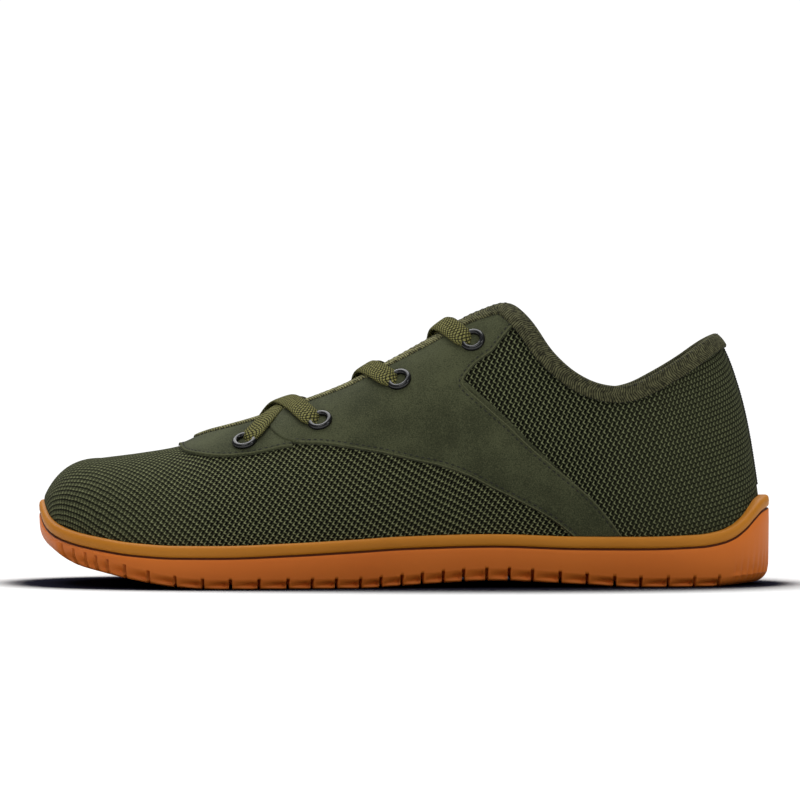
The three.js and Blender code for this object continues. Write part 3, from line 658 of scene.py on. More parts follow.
# %% Mix the materials
def gum_paint():
    """Gum rubber: a lighter lip above the groove, a browner wall below it, and painted shade in the groove.
    """
    paint = Paint("gum", srgb(150, 84, 30), 0.55, specular=0.22)
    _, v, _ = paint.axes("UV")
    lip = paint.ramp(v, 0.3, 0.32)
    cloud = paint.noise(22.0, 3.0)
    wall = paint.mix(paint.ramp(cloud, 0.3, 0.7), srgb(202, 104, 32), srgb(211, 113, 37))
    edge = paint.mix(paint.ramp(cloud, 0.3, 0.7), srgb(173, 107, 22), srgb(184, 117, 28))
    # Painted shade: a thin band at the groove's height is mixed to dark brown, standing in for the shade
    # inside the groove.
    groove = paint.ramp(paint.math("ABSOLUTE", paint.math("SUBTRACT", v, 0.29)), 0.012, 0.004)
    base = paint.mix(lip, wall, edge)
    paint.color(paint.mix(groove, base, srgb(84, 38, 10)))
    paint.bump(paint.noise(1300.0, 2.0), 0.12, 0.0002)
    return paint.material


gum = gum_paint()
KNIT_LIGHT = srgb(134, 138, 100)
KNIT_DARK = srgb(6, 7, 4)
KNIT_WAVES = ((0.40, 0.37), (0.49, -0.27))
REAR_WAVES = ((0.22, 0.476), (-0.339, 0.487))
knit = knit_paint("knit", KNIT_LIGHT, KNIT_DARK, KNIT_WAVES, (-0.07, -0.115), (1, 0), -0.1)
knit_rear = knit_paint(
    "knit_rear", srgb(122, 127, 92), KNIT_DARK, REAR_WAVES, (0.07, 0.125), (-1, 1), 0.5)
lining = knit_paint("lining", srgb(60, 62, 44), srgb(18, 19, 13), KNIT_WAVES)
suede = suede_paint("suede", srgb(46, 49, 33), srgb(76, 79, 56))
tape = tape_paint("tape", srgb(92, 91, 64), srgb(16, 16, 10))
woven = weave_paint("woven", srgb(128, 125, 73), srgb(10, 10, 5), 1.55)
# Near-black thread: along the panels these stitches also stand in for the shade in the stitch holes, so
# their colour is partly thread and partly painted shade.
thread = Paint("thread", srgb(26, 27, 18), 0.9).material
edge_cord = Paint("edge_cord", srgb(84, 86, 62), 0.9, specular=0.05).material
black_metal = Paint("black_metal", srgb(5, 5, 7), 0.24, coat=0.1, specular=0.4).material
black_metal.node_tree.nodes["Principled BSDF"].inputs["Metallic"].default_value = 0.0
bed_cloth = suede_paint("bed_cloth", srgb(40, 42, 32), srgb(56, 58, 44), 1500.0)
print("materials", len(bpy.data.materials))

# %% [markdown]
# ## The rubber sole
# A cup sole is moulded in one piece: a flat tread, a wall that rises round the foot, a thin groove
# and a rolled lip. Slots cut the tread's edge into lugs so that it bends with the foot. Rings of
# corners are laid one above the other, and pushed inwards wherever a slot is.

# %% Stations round the sole
def sole_stations():
    """Places round the outline, with each one's slot (0 none, 1 plain, 2 with a groove across)."""
    outer, inner = [], []
    half = SLOT_WIDTH / 2
    for side, store in ((-1, outer), (1, inner)):
        marks = []
        end = BACK if side < 0 else LOOP - BACK
        for number, at in enumerate(SLOTS):
            centre = float(run_at(at, side))
            walked = centre if side < 0 else LOOP - centre
            for offset, kind in ((-half - 0.06, 0), (-half, 1), (half, 1), (half + 0.06, 0)):
                marks.append((walked + offset, kind * (2 if number % 2 else 1), number))
            if number + 1 < len(SLOTS):
                following = float(run_at(SLOTS[number + 1], side))
                following = following if side < 0 else LOOP - following
                room = following - walked - 1.8
                for t in (0.0, 0.1, 0.3, 0.5, 0.7, 0.86, 1.0):
                    marks.append((walked + 0.9 + room * t, 0, number))
        first = marks[0][0]
        last = marks[-1][0]
        ahead = [(first * k / 9, 0, -1) for k in range(9)]
        behind = [(last + (end - last) * k / 56, 0, len(SLOTS)) for k in range(1, 57)]
        store.extend(ahead + marks + behind)
    return outer, inner


outer_marks, inner_marks = sole_stations()
all_runs = [run for run, _, _ in outer_marks] + [LOOP - run for run, _, _ in inner_marks[-2::-1]]
all_slots = [kind for _, kind, _ in outer_marks] + [kind for _, kind, _ in inner_marks[-2::-1]]
all_lugs = [lug for _, _, lug in outer_marks] + [lug for _, _, lug in inner_marks[-2::-1]]
runs = np.array(all_runs)
slots = np.array(all_slots)
count_outer = len(outer_marks)
pair_at = []
for k in range(len(all_runs)):
    mate = 2 * (count_outer - 1) - k
    mate = min(max(mate, 0), len(all_runs) - 1)
    a = share(foot_at(runs[k])[0][0])
    b = share(foot_at(runs[mate])[0][0])
    pair_at.append((a + b) / 2)
pair_at = np.array(pair_at)
spots, outs = foot_at(runs)
at_here = share(spots[:, 0])
tread = tread_at(at_here) * TOE_SPRING
rim = rim_at(at_here) * RIM_HEIGHT
edge = edge_at(at_here) * EDGE_RADIUS
in_slot = slots > 0
in_groove = slots > 1


def ring(inset, z):
    """A ring of the sole at an inset from the outline and a height."""
    inset = np.broadcast_to(inset, at_here.shape)
    z = np.broadcast_to(z, at_here.shape)
    flat = spots - outs * inset[:, None]
    return np.concatenate([flat, z[:, None]], axis=1)


# %% Lay the rings of the sole
lug_t = np.zeros(len(runs))
for k in range(len(runs)):
    side = -1 if k < count_outer else 1
    number = all_lugs[k]
    if 0 <= number < len(SLOTS) - 1:
        start = float(run_at(SLOTS[number], side))
        end = float(run_at(SLOTS[number + 1], side))
        lug_t[k] = np.clip((runs[k] - start) / (end - start), 0, 1)
saw = np.where(in_slot, 0.0, 1 - np.abs(lug_t - 0.85) / 0.85)
saw = np.where((np.array(all_lugs) < 0) | (np.array(all_lugs) >= len(SLOTS) - 1), 0.0, np.clip(saw, 0, 1))
saw_on = (saw > 0).astype(float)
deep = in_slot * SLOT_DEPTH
slot_top = tread + SLOT_HEIGHT + tread * 0.4
spine_z = tread_at(pair_at) * TOE_SPRING
middle = spine(pair_at)
centre_low = np.stack([middle[:, 0], middle[:, 1], spine_z + in_groove * 0.3], axis=1)
lift = in_groove * TREAD_GROOVE
rib = np.clip((at_here - 0.94) / 0.012, 0, 1) * np.clip((np.abs(runs - BACK) - 3.0) / 3.0, 0, 1)
rib_wave = (0.5 - 0.5 * np.cos((runs - BACK) / 3.6 * 2 * math.pi)) ** 2
ribs = rib * rib_wave * 0.8
groove_z = rim - RIM_BAND - GROOVE_HEIGHT
slot_rise = slot_top - tread
wall_rise = groove_z - slot_top


def rounding(h):
    """Inset of the rounded lower edge at a height above the tread."""
    left = np.clip(edge - h, 0, None)
    return edge - np.sqrt(np.maximum(edge ** 2 - left ** 2, 0))


def lug_ring(part_up, cut, wedge):
    """A ring through the lugs: cut is a step all along, wedge a facet that deepens towards one end."""
    h = slot_rise * part_up
    inset = rounding(h) + deep + saw_on * cut * 1.6 + saw * wedge * 1.5 + ribs * part_up
    return ring(inset, tread + h + lift * (1 - part_up))


def wall_ring(part_up, bulge, rib_share):
    """A ring of the plain wall above the slots."""
    h = slot_rise + 0.02 + wall_rise * part_up
    return ring(rounding(h) + ribs * rib_share - bulge, tread + h)


rim_turn = np.zeros(len(runs))
for k, run in enumerate(runs):
    fine_turns = np.linspace(0.02, 1.2, 80)
    rim_turn[k] = np.interp(rim[k], form(np.full(80, run), fine_turns)[:, 2], fine_turns)
reach_in = ((spots - form(runs, rim_turn)[:, :2]) * outs).sum(axis=1)
reach_in = np.clip(reach_in, RIM_WIDTH, 9.0)
sole_rings = [
    centre_low,
    ring(edge + deep + 0.2, tread + lift),
    lug_ring(0.0, 0.0, 0.0),
    lug_ring(0.05, 0.0, 0.0),
    lug_ring(0.13, 0.1, 0.0),
    lug_ring(0.2, 0.15, 0.15),
    lug_ring(0.3, 0.2, 1.0),
    lug_ring(0.42, 0.2, 1.15),
    lug_ring(0.56, 0.15, 0.8),
    lug_ring(0.74, 0.1, 0.25),
    lug_ring(0.9, 0.05, 0.0),
    ring(rounding(slot_rise) + deep, slot_top),
    wall_ring(0.0, 0.0, 1.0),
    wall_ring(0.12, 0.0, 0.9),
    wall_ring(0.26, 0.05, 0.45),
    wall_ring(0.4, 0.1, 0.0),
    wall_ring(0.82, 0.2, 0.0),
    ring(rounding(groove_z - tread) - 0.15, groove_z - 0.4),
    ring(0.0, groove_z),
    ring(GROOVE_DEPTH * 0.9, groove_z + GROOVE_HEIGHT * 0.3),
    ring(GROOVE_DEPTH, groove_z + GROOVE_HEIGHT * 0.55),
    ring(GROOVE_DEPTH * 0.5, groove_z + GROOVE_HEIGHT * 0.85),
    ring(0.02, rim - RIM_BAND + 0.1),
    ring(-0.2, rim - RIM_BAND * 0.8),
    ring(-0.28, rim - RIM_BAND * 0.5),
    ring(-0.1, rim - RIM_BAND * 0.22),
    ring(0.35, rim - RIM_BAND * 0.06),
    ring(1.0, rim),
    ring(reach_in - 0.8, rim - 0.05),
    ring(reach_in - 0.2, rim - 0.5),
    ring(reach_in - 0.1, rim - 1.6),
    ring(RIM_WIDTH - 0.3, rim - RIM_BAND),
    ring(RIM_WIDTH - 0.3, bed_level(spots[:, 0]) - CLEARANCE * 2),
    np.stack([middle[:, 0], middle[:, 1], bed_level(middle[:, 0]) - CLEARANCE * 2], axis=1),
]
GROOVE_RING = 18
sole_points = np.stack(sole_rings)
sole_uv = np.zeros(sole_points.shape[:2] + (2,))
sole_uv[..., 0] = runs[None, :]
for r in range(len(sole_rings)):
    sole_uv[r, :, 1] = r if r < GROOVE_RING else (29.0 if r < GROOVE_RING + 4 else 16.0 + r)
sole = lay_grid(sole_points, sole_uv, merge=0.000004)
bmesh.ops.dissolve_degenerate(sole, edges=sole.edges, dist=0.000002)
face_outwards(sole, np.array([0.0, -45.0, 12.0]), (0, -1, 0))
sole_piece = finish_piece("sole", sole, gum, ("outsole",))
print("sole", len(sole_piece.data.polygons), "faces")

# %% [markdown]
# ## The opening of the upper
# The foot goes in through the collar, which is drawn from the side, and the throat, a narrow slot
# drawn from above. For each station round the shoe, the height where the wall meets the opening is
# looked up, and the wall stops there.

# %% Find the edge of the opening
slot_front = THROAT_START - LENGTH / 2


def openness(points, grow):
    """Positive inside the opening, grown by a distance."""
    x, y, z = points[..., 0], points[..., 1], points[..., 2]
    reach = 0.002
    slope = (collar_at(share(x) + reach) - collar_at(share(x) - reach)) * HEEL / (2 * reach * LENGTH)
    collar = (z - collar_at(share(x)) * HEEL) / np.sqrt(1 + slope ** 2) + grow
    collar = np.minimum(collar, x - along(COLLAR[0][0]) + grow)
    half = THROAT_GAP / 2 + grow * 0.76
    front = slot_front - grow
    y_middle = crown_middle(share(np.full(1, front)))[0] * BALL_WIDTH
    centre = front + half
    flat = half - np.abs(y - y_middle * np.clip((20 - x) / 60, 0, 1))
    rounded = half - np.hypot(np.minimum(x - centre, 0), y - y_middle)
    slot = np.where(x < centre, rounded, flat)
    slot = np.where(z < BED_HEIGHT * 3, -50.0, slot)
    slot = np.minimum(slot, along(0.7) - x)
    return np.maximum(collar, slot)


def edge_turn(run, grow):
    """The turn at which the form enters the grown opening."""
    turns = np.linspace(0.3, math.pi / 2, 300)
    values = openness(form(np.full(turns.shape, run), turns), grow)
    inside = np.nonzero(values > 0)[0]
    if len(inside) == 0 or inside[0] == 0:
        return math.pi / 2
    k = inside[0]
    t = -values[k - 1] / (values[k] - values[k - 1])
    return float(turns[k - 1] + (turns[k] - turns[k - 1]) * t)


# %% [markdown]
# ## The knitted upper
# The knit is one tube pulled over the form. Its map for the pattern fans out round the toe, so that
# the rows bend down there as on the real thing, and in the rear quarter the rows climb to the heel.

# %% Knit the upper
FRONT_RUN = float(run_at(TOE_POLE, -1))
REAR_RUN = float(run_at(HEEL_POLE, -1))
side_stations = 210
outer_at = np.linspace(TOE_POLE, HEEL_POLE, side_stations)
upper_runs = np.concatenate([
    run_at(outer_at, -1),
    np.linspace(REAR_RUN, float(run_at(HEEL_POLE, 1)), 60)[1:-1],
    run_at(outer_at[::-1], 1),
    np.linspace(float(run_at(TOE_POLE, 1)), LOOP + FRONT_RUN, 64)[1:],
])
HIDDEN_EDGE = 2.2
turn_ends = np.array([edge_turn(run, HIDDEN_EDGE) for run in upper_runs])
levels = np.linspace(0, 1, 64) ** 1.1
knit_turns = 0.02 + (turn_ends[:, None] - 0.02) * levels[None, :]
grid_runs = np.repeat(upper_runs[:, None], len(levels), axis=1)


def shell(out, run, turn):
    """The form moved outwards, its crown kept upright."""
    base = form(run, turn)
    normal = form_normal(run, turn)
    at = np.clip(share(foot_at(run)[0][..., 0]), TOE_POLE, HEEL_POLE)
    ahead, behind = spine(at + 0.004), spine(at - 0.004)
    rise = ahead - behind
    upright = np.stack([-rise[..., 2], np.zeros(at.shape), rise[..., 0]], axis=-1)
    upright /= np.linalg.norm(upright, axis=-1)[..., None]
    blend = np.clip((turn - 1.38) / 0.18, 0, 1)[..., None]
    normal = normal * (1 - blend) + upright * blend
    normal /= np.linalg.norm(normal, axis=-1)[..., None]
    return base + normal * out, normal


def dents(points):
    """Soft creases of worn cloth: inward depth in millimetres at each point."""
    x, y, z = points[..., 0], points[..., 1], points[..., 2]
    depth = np.zeros(x.shape)
    for cx, cz, lean, long, wide, deep_by in (
        (-92.0, 34.0, 0.5, 26.0, 4.0, 0.35), (-84.0, 30.0, 0.55, 24.0, 3.6, 0.3),
        (96.0, 60.0, 0.2, 22.0, 6.0, 0.5), (108.0, 44.0, 0.25, 20.0, 5.0, 0.4),
        (84.0, 74.0, 0.15, 18.0, 6.0, 0.4),
    ):
        a = (x - cx) * math.cos(lean) + (z - cz) * math.sin(lean)
        b = -(x - cx) * math.sin(lean) + (z - cz) * math.cos(lean)
        depth += deep_by * np.exp(-(a / long) ** 2 - (b / wide) ** 2)
    return depth


def fullness(points):
    """How far the knit swells past the form just above the rim, at the toe and at the heel."""
    x, z = points[..., 0], points[..., 2]
    toe = 2.4 * np.clip((along(0.12) - x) / 22.0, 0, 1) * np.clip(1 - np.abs(z - 33.0) / 15.0, 0, 1)
    heel = 1.9 * np.clip((x - 108.0) / 20.0, 0, 1) * np.clip(1 - (z - 28.0) / 50.0, 0, 1)
    return toe + heel


upper_points, upper_normals = shell(0.0, grid_runs, knit_turns)
upper_points = upper_points + upper_normals * (fullness(upper_points) - dents(upper_points))[..., None]


def knit_map():
    """Two maps of the upper: one for the front, one for the rear quarter."""
    steps = np.linalg.norm(np.diff(upper_points, axis=1), axis=2)
    climbed = np.concatenate([np.zeros((len(upper_runs), 1)), np.cumsum(steps, axis=1)], axis=1)
    full = []
    for run in upper_runs:
        fine = form(np.full(200, run), np.linspace(0.02, math.pi / 2, 200))
        full.append(np.linalg.norm(np.diff(fine, axis=0), axis=1).sum())
    below = np.array(full)[:, None] - climbed
    front = np.zeros(upper_points.shape[:2] + (2,))
    rear = np.zeros_like(front)
    runs_now = np.mod(upper_runs, LOOP)
    inner_front = float(run_at(TOE_POLE, 1))
    for k, run in enumerate(runs_now):
        at = share(foot_at(run)[0][0])
        if FRONT_RUN <= run <= inner_front:
            side = -1 if run < BACK else 1
            front[k, :, 0] = along(min(max(at, TOE_POLE), HEEL_POLE))
            front[k, :, 1] = side * below[k]
        else:
            spot = foot_at(run)[0]
            sideways = spot[1] - float(crown_middle(TOE_POLE)) * BALL_WIDTH
            angle = math.atan2(sideways, along(TOE_POLE) - spot[0])
            front[k, :, 0] = along(TOE_POLE) - below[k] * math.cos(angle)
            front[k, :, 1] = below[k] * math.sin(angle)
        walk = (run - BACK) if run <= BACK else (BACK - run)
        climb = math.radians(13.0)
        height = upper_points[k, :, 2]
        rear[k, :, 0] = height * math.cos(climb) - walk * math.sin(climb)
        rear[k, :, 1] = walk * math.cos(climb) + height * math.sin(climb)
    return front, rear


front_map, rear_map = knit_map()
knit_sheet = lay_grid(upper_points, front_map, merge=0.000003)
face_outwards(knit_sheet, np.array([-20.0, -50.0, 30.0]), (0, -1, 0))
uv_layer = knit_sheet.loops.layers.uv.active


def on_the_tables(place):
    """A point of the frame in the millimetres of the tables."""
    return (place - shift) * 1000.0


SPLIT_HEIGHTS = (0.155, 0.3, 0.45, 0.6, 0.8)
SPLIT_SHARES = (0.767, 0.7, 0.6, 0.55, 0.55)
flat_points = upper_points.reshape(-1, 3)
flat_rear = rear_map.reshape(-1, 2)
finder = KDTree(len(flat_points))
for number, point in enumerate(flat_points):
    finder.insert(point, number)
finder.balance()
for face in knit_sheet.faces:
    centre = on_the_tables(face.calc_center_median())
    if share(centre.x) > np.interp(centre.z / INSTEP, SPLIT_HEIGHTS, SPLIT_SHARES):
        face.material_index = 1
        for loop in face.loops:
            _, number, _ = finder.find(on_the_tables(loop.vert.co))
            loop[uv_layer].uv = flat_rear[number] / 100.0
inner_sheet = lay_grid(shell(-UPPER_WALL, grid_runs, knit_turns)[0], front_map, merge=0.000003)
face_outwards(inner_sheet, np.array([-20.0, -50.0, 30.0]), (0, 1, 0))
for face in inner_sheet.faces:
    face.material_index = 2
upper_part = join_parts(knit_sheet, [inner_sheet])
upper_piece = finish_piece("knit_upper", upper_part, knit, ("upper",))
upper_piece.data.materials.append(knit_rear)
upper_piece.data.materials.append(lining)
print("upper", len(upper_piece.data.polygons), "faces")

# %% [markdown]
# ## The smooth panels
# Suede-like pieces are cut flat, laid over the knit and sewn down near their edges. Each is a patch
# between its border lines on the map, raised by its thickness, with a rolled border and a shallow
# trough where the seam pulls it down.

# %% Panel helpers
def plan_edge(grow, x_values, side):
    """The slot's side edge at a growth, on the map."""
    half = THROAT_GAP / 2 + grow * 0.76
    return np.array([seen_from_above(float(x), side * half) for x in x_values])


def patch(front, rear, low, top, across, upwards):
    """A grid between four border lines: front and rear run from low to top."""
    s = across[:, None, None]
    t = upwards[None, :, None]
    front_t = resample(front, upwards)[None]
    rear_t = resample(rear, upwards)[None]
    low_s = resample(low, across)[:, None]
    top_s = resample(top, across)[:, None]
    corners = (
        (1 - s) * (1 - t) * front_t[:, :1] + s * (1 - t) * rear_t[:, :1]
        + (1 - s) * t * front_t[:, -1:] + s * t * rear_t[:, -1:]
    )
    return (1 - s) * front_t + s * rear_t + (1 - t) * low_s + t * top_s - corners


def resample(line, shares):
    """A line's points at shares of its length."""
    steps = np.concatenate([[0.0], np.cumsum(np.linalg.norm(np.diff(line, axis=0), axis=1))])
    want = shares * steps[-1]
    return np.stack([np.interp(want, steps, line[:, k]) for k in range(line.shape[1])], axis=1)


def distance_to(points, line):
    """Distance from map points to a line."""
    a, b = line[:-1], line[1:]
    run = b - a
    size = np.maximum((run ** 2).sum(axis=1), 1e-9)
    flat = points.reshape(-1, 2)
    t = np.clip(((flat[:, None] - a[None]) * run[None]).sum(axis=2) / size[None], 0, 1)
    near = a[None] + run[None] * t[..., None]
    return np.linalg.norm(flat[:, None] - near, axis=2).min(axis=1).reshape(points.shape[:-1])


LIP_AWAY = (0, 0.15, 0.4, 0.75, 1.15, 1.55, 2.1, 3.2)
LIP_HEIGHT = (0.35, 0.75, 0.98, 1.1, 1.0, 0.82, 1.0, 1.0)


def leather_height(away):
    """Height of a panel above its underside at a distance from its border."""
    return np.interp(away, LIP_AWAY, LIP_HEIGHT) * OVERLAY_WALL


def border_shares(total, ends):
    """Shares across a patch, closer together near its sewn ends."""
    near = np.array(LIP_AWAY) / total
    middle_shares = np.linspace(near[-1], 1 - (near[-1] if ends > 1 else 0), 46)[1:]
    far = (1 - near[::-1])[1:] if ends > 1 else []
    return np.concatenate([near, middle_shares, far])


def leather(name, grid, seams, replaced, probe, raised=0.0):
    """A panel over the knit from a grid on the map."""
    away = np.min([distance_to(grid, seam) for seam in seams], axis=0)
    base, normal = on_form(grid[..., 0], grid[..., 1])
    height = CLEARANCE * 0.6 + leather_height(away)
    height += raised * np.clip((along(0.37) - base[..., 0]) / 12.0, 0, 1)
    height -= dents(base) * 0.8
    top = base + normal * height[..., None]
    under = base + normal * 0.12
    part = lay_grid(top, grid, merge=0.000003)
    face_outwards(part, probe[0], probe[1])
    side = lay_grid(under, grid, merge=0.000003)
    face_outwards(side, probe[0], [-c for c in probe[1]])
    border = np.concatenate([
        np.stack([top[0], under[0]]), np.stack([top[:, -1], under[:, -1]]),
        np.stack([top[-1][::-1], under[-1][::-1]]), np.stack([top[::-1, 0], under[::-1, 0]]),
    ], axis=1)
    rim_strip = lay_grid(border, merge=0.000003)
    part = join_parts(part, [side, rim_strip])
    bmesh.ops.remove_doubles(part, verts=part.verts, dist=0.000004)
    bmesh.ops.recalc_face_normals(part, faces=part.faces)
    face_outwards(part, probe[0], probe[1])
    return finish_piece(name, part, suede, replaced)


# %% Cut the side panels
panel_lines = {}
for side, name in ((-1, "outer"), (1, "inner")):
    front_line = smooth_line(PANEL_FRONT[1:], INSTEP, side, 120)[::-1]
    rear_line = smooth_line(PANEL_REAR[1:], INSTEP, side, 120)[::-1]
    tip_point = front_line[-1]
    hidden = BINDING_WIDTH - 2.4
    tip_top = np.array(seen_from_above(float(tip_point[0] - 2.0), side * (THROAT_GAP / 2 + hidden * 0.76)))
    front_line = np.concatenate([front_line, even(np.array([tip_point, tip_top]), 30)[1:]])
    throat_xs = np.linspace(float(tip_top[0]), float(along(0.628)), 60)
    throat_line = plan_edge(hidden, throat_xs, side)
    collar_line = []
    for at in np.linspace(0.64, 0.668, 12):
        collar_line.append(seen_from_side(float(along(at)) - 2.2, float(collar_at(at)) * HEEL - 1.2, side))
    top_line = np.concatenate([throat_line, np.array(collar_line)])
    rear_line = np.concatenate([rear_line, even(np.array([rear_line[-1], top_line[-1]]), 30)[1:]])
    low_line = np.stack([
        np.linspace(front_line[0, 0], rear_line[0, 0], 30),
        np.linspace(front_line[0, 1], rear_line[0, 1], 30),
    ], axis=1)
    panel_grid = patch(
        front_line, rear_line, low_line, top_line, border_shares(46.0, 2), np.linspace(0, 1, 110))
    leather(
        f"panel_{name}", panel_grid, [front_line, rear_line], (f"side_panel_{name}",),
        (np.array([20.0, side * 40.0, 40.0]), (0, side, 0.3)), raised=0.55,
    )
    panel_lines[side] = (front_line, rear_line)
print("panels done")

# %% Cut the front piece of the eyestay
outer_low = smooth_line(EYESTAY, INSTEP, -1, 90)[::-1]
inner_low = smooth_line(EYESTAY, INSTEP, 1, 90)
nose_x = float(along(0.1935))
nose_arc = []
for t in np.linspace(-1, 1, 41):
    v_end = outer_low[-1][1] if t < 0 else inner_low[0][1]
    nose_arc.append((nose_x - 1.5 * (1 - t * t), abs(t) * v_end))
outside_line = even(np.concatenate([outer_low, np.array(nose_arc), inner_low]), 200)
for _ in range(14):
    outside_line[1:-1] = 0.5 * outside_line[1:-1] + 0.25 * (outside_line[:-2] + outside_line[2:])
hidden_half = THROAT_GAP / 2 + 3.0 * 0.76
front_x = slot_front - 3.0
nose_middle = float(crown_middle(share(np.array([front_x])))[0]) * BALL_WIDTH
inside = []
for x in np.linspace(float(along(0.352)), front_x + hidden_half, 40):
    inside.append(seen_from_above(float(x), nose_middle - hidden_half))
for angle in np.linspace(-math.pi / 2, -3 * math.pi / 2, 41)[1:-1]:
    inside.append(seen_from_above(
        front_x + hidden_half + hidden_half * math.cos(angle), nose_middle + hidden_half * math.sin(angle)))
for x in np.linspace(front_x + hidden_half, float(along(0.352)), 40):
    inside.append(seen_from_above(float(x), nose_middle + hidden_half))
inside_line = even(np.array(inside), 200)
rows = border_shares(16.0, 1)
eyestay_grid = np.stack([outside_line * (1 - t) + inside_line * t for t in rows])
leather("eyestay_front", eyestay_grid, [outside_line], ("toe_eyestay",),
        (np.array([-80.0, 0.0, 54.0]), (-0.3, 0, 1)), raised=-0.12)
print("eyestay done")

# %% [markdown]
# ## The tape round the opening
# A folded stretch tape is sewn over the raw edge of the throat and the collar. Its path is the edge
# of the opening, and its section is a thin fold that is carried along that path.

# %% Find the path of the tape
def edge_path():
    """Points, outward directions and downward directions round the opening."""
    half = THROAT_GAP / 2
    y_middle = float(crown_middle(share(np.array([slot_front])))[0]) * BALL_WIDTH
    arc_place = slot_front + half
    start = share(arc_place)
    places = []
    for angle in np.linspace(-math.pi, -math.pi / 2, 14)[:-1]:
        spot = seen_from_above(arc_place + half * math.cos(angle), y_middle + half * math.sin(angle))
        places.append(on_form(*spot)[0])
    sides = np.linspace(start + 0.002, HEEL_POLE, 170)
    for run in run_at(sides, -1):
        places.append(form(np.array(run), np.array(edge_turn(run, 0.0))))
    for run in np.linspace(REAR_RUN, float(run_at(HEEL_POLE, 1)), 50)[1:-1]:
        places.append(form(np.array(run), np.array(edge_turn(run, 0.0))))
    for run in run_at(sides[::-1], 1):
        places.append(form(np.array(run), np.array(edge_turn(run, 0.0))))
    for angle in np.linspace(math.pi / 2, math.pi, 14)[1:]:
        spot = seen_from_above(arc_place + half * math.cos(angle), y_middle + half * math.sin(angle))
        places.append(on_form(*spot)[0])
    return np.array(places)


raw_edge = edge_path()
edge_line = even(raw_edge, 420)[:-1]
for _ in range(6):
    edge_line = 0.5 * edge_line + 0.25 * (np.roll(edge_line, 1, axis=0) + np.roll(edge_line, -1, axis=0))

form_sheet = lay_grid(shell(0.0, grid_runs, 0.02 + (math.pi / 2 - 0.02) * np.repeat(
    levels[None, :], len(upper_runs), axis=0))[0], merge=0.000003)
form_tree = BVHTree.FromBMesh(form_sheet)
form_sheet.free()


def nearest_on_form(points):
    """The nearest points of the form, with outward directions."""
    found, normals = [], []
    for point in points:
        place, normal, _, _ = form_tree.find_nearest(Vector(point / 1000.0) + shift)
        place = np.array((place - shift) * 1000.0)
        normal = np.array(normal)
        outwards = place - np.array([place[0], 0.0, 30.0])
        found.append(place)
        normals.append(normal if normal @ outwards > 0 else -normal)
    return np.array(found), np.array(normals)


def soften(rows, times):
    """Directions smoothed along a closed line."""
    for _ in range(times):
        rows = 0.5 * rows + 0.25 * (np.roll(rows, 1, axis=0) + np.roll(rows, -1, axis=0))
    return rows / np.linalg.norm(rows, axis=1)[:, None]


edge_line, edge_out = nearest_on_form(edge_line)
edge_out = soften(edge_out, 8)
ahead = soften(np.roll(edge_line, -2, axis=0) - np.roll(edge_line, 2, axis=0), 4)
edge_down = np.cross(ahead, edge_out)
test = openness(edge_line + edge_down * 3.0, 0.0)
if test.mean() > 0:
    edge_down = -edge_down
print("edge", len(edge_line), "points")

# %% Sew the tape on
fold = (
    (5.9, 0.95), (5.75, 1.6), (5.3, 1.85), (4.5, 1.8), (3.5, 1.72), (2.5, 1.5), (1.5, 1.25),
    (0.7, 0.95), (0.15, 0.45), (-0.2, -0.2), (-0.28, -0.9), (-0.1, -1.8), (0.4, -2.5), (1.2, -2.85),
    (2.6, -2.9), (4.2, -2.85), (5.2, -2.6), (5.4, -2.1),
)
PEAK = float(along(0.64))
widen = 0.6 + 2.0 * np.exp(-((edge_line[:, 0] - PEAK) / 13.0) ** 2)


def tape_rows(section):
    """The section's points along the whole edge."""
    rows = []
    for down, out in section:
        reach = down + widen * max(down, 0) / fold[0][0]
        base, normal = nearest_on_form(edge_line + edge_down * reach[:, None])
        normal = soften(normal, 6)
        rows.append(base + normal * out)
    return np.stack(rows)


tape_points = tape_rows(fold)
tape_points = np.concatenate([tape_points, tape_points[:, :1]], axis=1)
tape_length = np.concatenate([[0.0], np.cumsum(np.linalg.norm(np.diff(tape_points[4], axis=0), axis=1))])
tape_uv = np.zeros(tape_points.shape[:2] + (2,))
tape_uv[..., 0] = tape_length[None, :]
tape_uv[..., 1] = np.array([down if out > 0 else -down for down, out in fold])[:, None]
tape_part = lay_grid(tape_points, tape_uv, merge=0.000003)
face_outwards(tape_part, tape_points[4][200], tuple(edge_out[200]))
tape_piece = finish_piece("collar_tape", tape_part, tape, ("collar_binding",))
print("tape", len(tape_piece.data.polygons))

# %% [markdown]
# ## Stitches
# Short threads run along every sewn border. Each is a small stretched ball laid on the cloth.

# %% Helper for rows of stitches
def sew(name, lines, pitch, length, radius, material):
    """Rows of stitches along lines of points with outward directions."""
    part = bmesh.new()
    for points, normals in lines:
        steps = np.concatenate([[0.0], np.cumsum(np.linalg.norm(np.diff(points, axis=0), axis=1))])
        for want in np.arange(pitch * 0.5, steps[-1], pitch):
            place = np.array([np.interp(want, steps, points[:, k]) for k in range(3)])
            onwards = np.array([np.interp(want + 0.4, steps, points[:, k]) for k in range(3)]) - place
            up = Vector([np.interp(want, steps, normals[:, k]) for k in range(3)]).normalized()
            forward = Vector(onwards)
            if forward.length < 1e-6:
                continue
            forward.normalize()
            across = up.cross(forward).normalized()
            up = forward.cross(across)
            turn = Matrix((forward, across, up)).transposed().to_4x4()
            move = Matrix.Translation(Vector(place / 1000.0) + shift)
            size = Matrix.Diagonal((length / 2000.0, radius / 1000.0, radius / 1000.0, 1.0))
            bmesh.ops.create_uvsphere(
                part, u_segments=6, v_segments=4, radius=1.0, matrix=move @ turn @ size)
    return finish_piece(name, part, material)


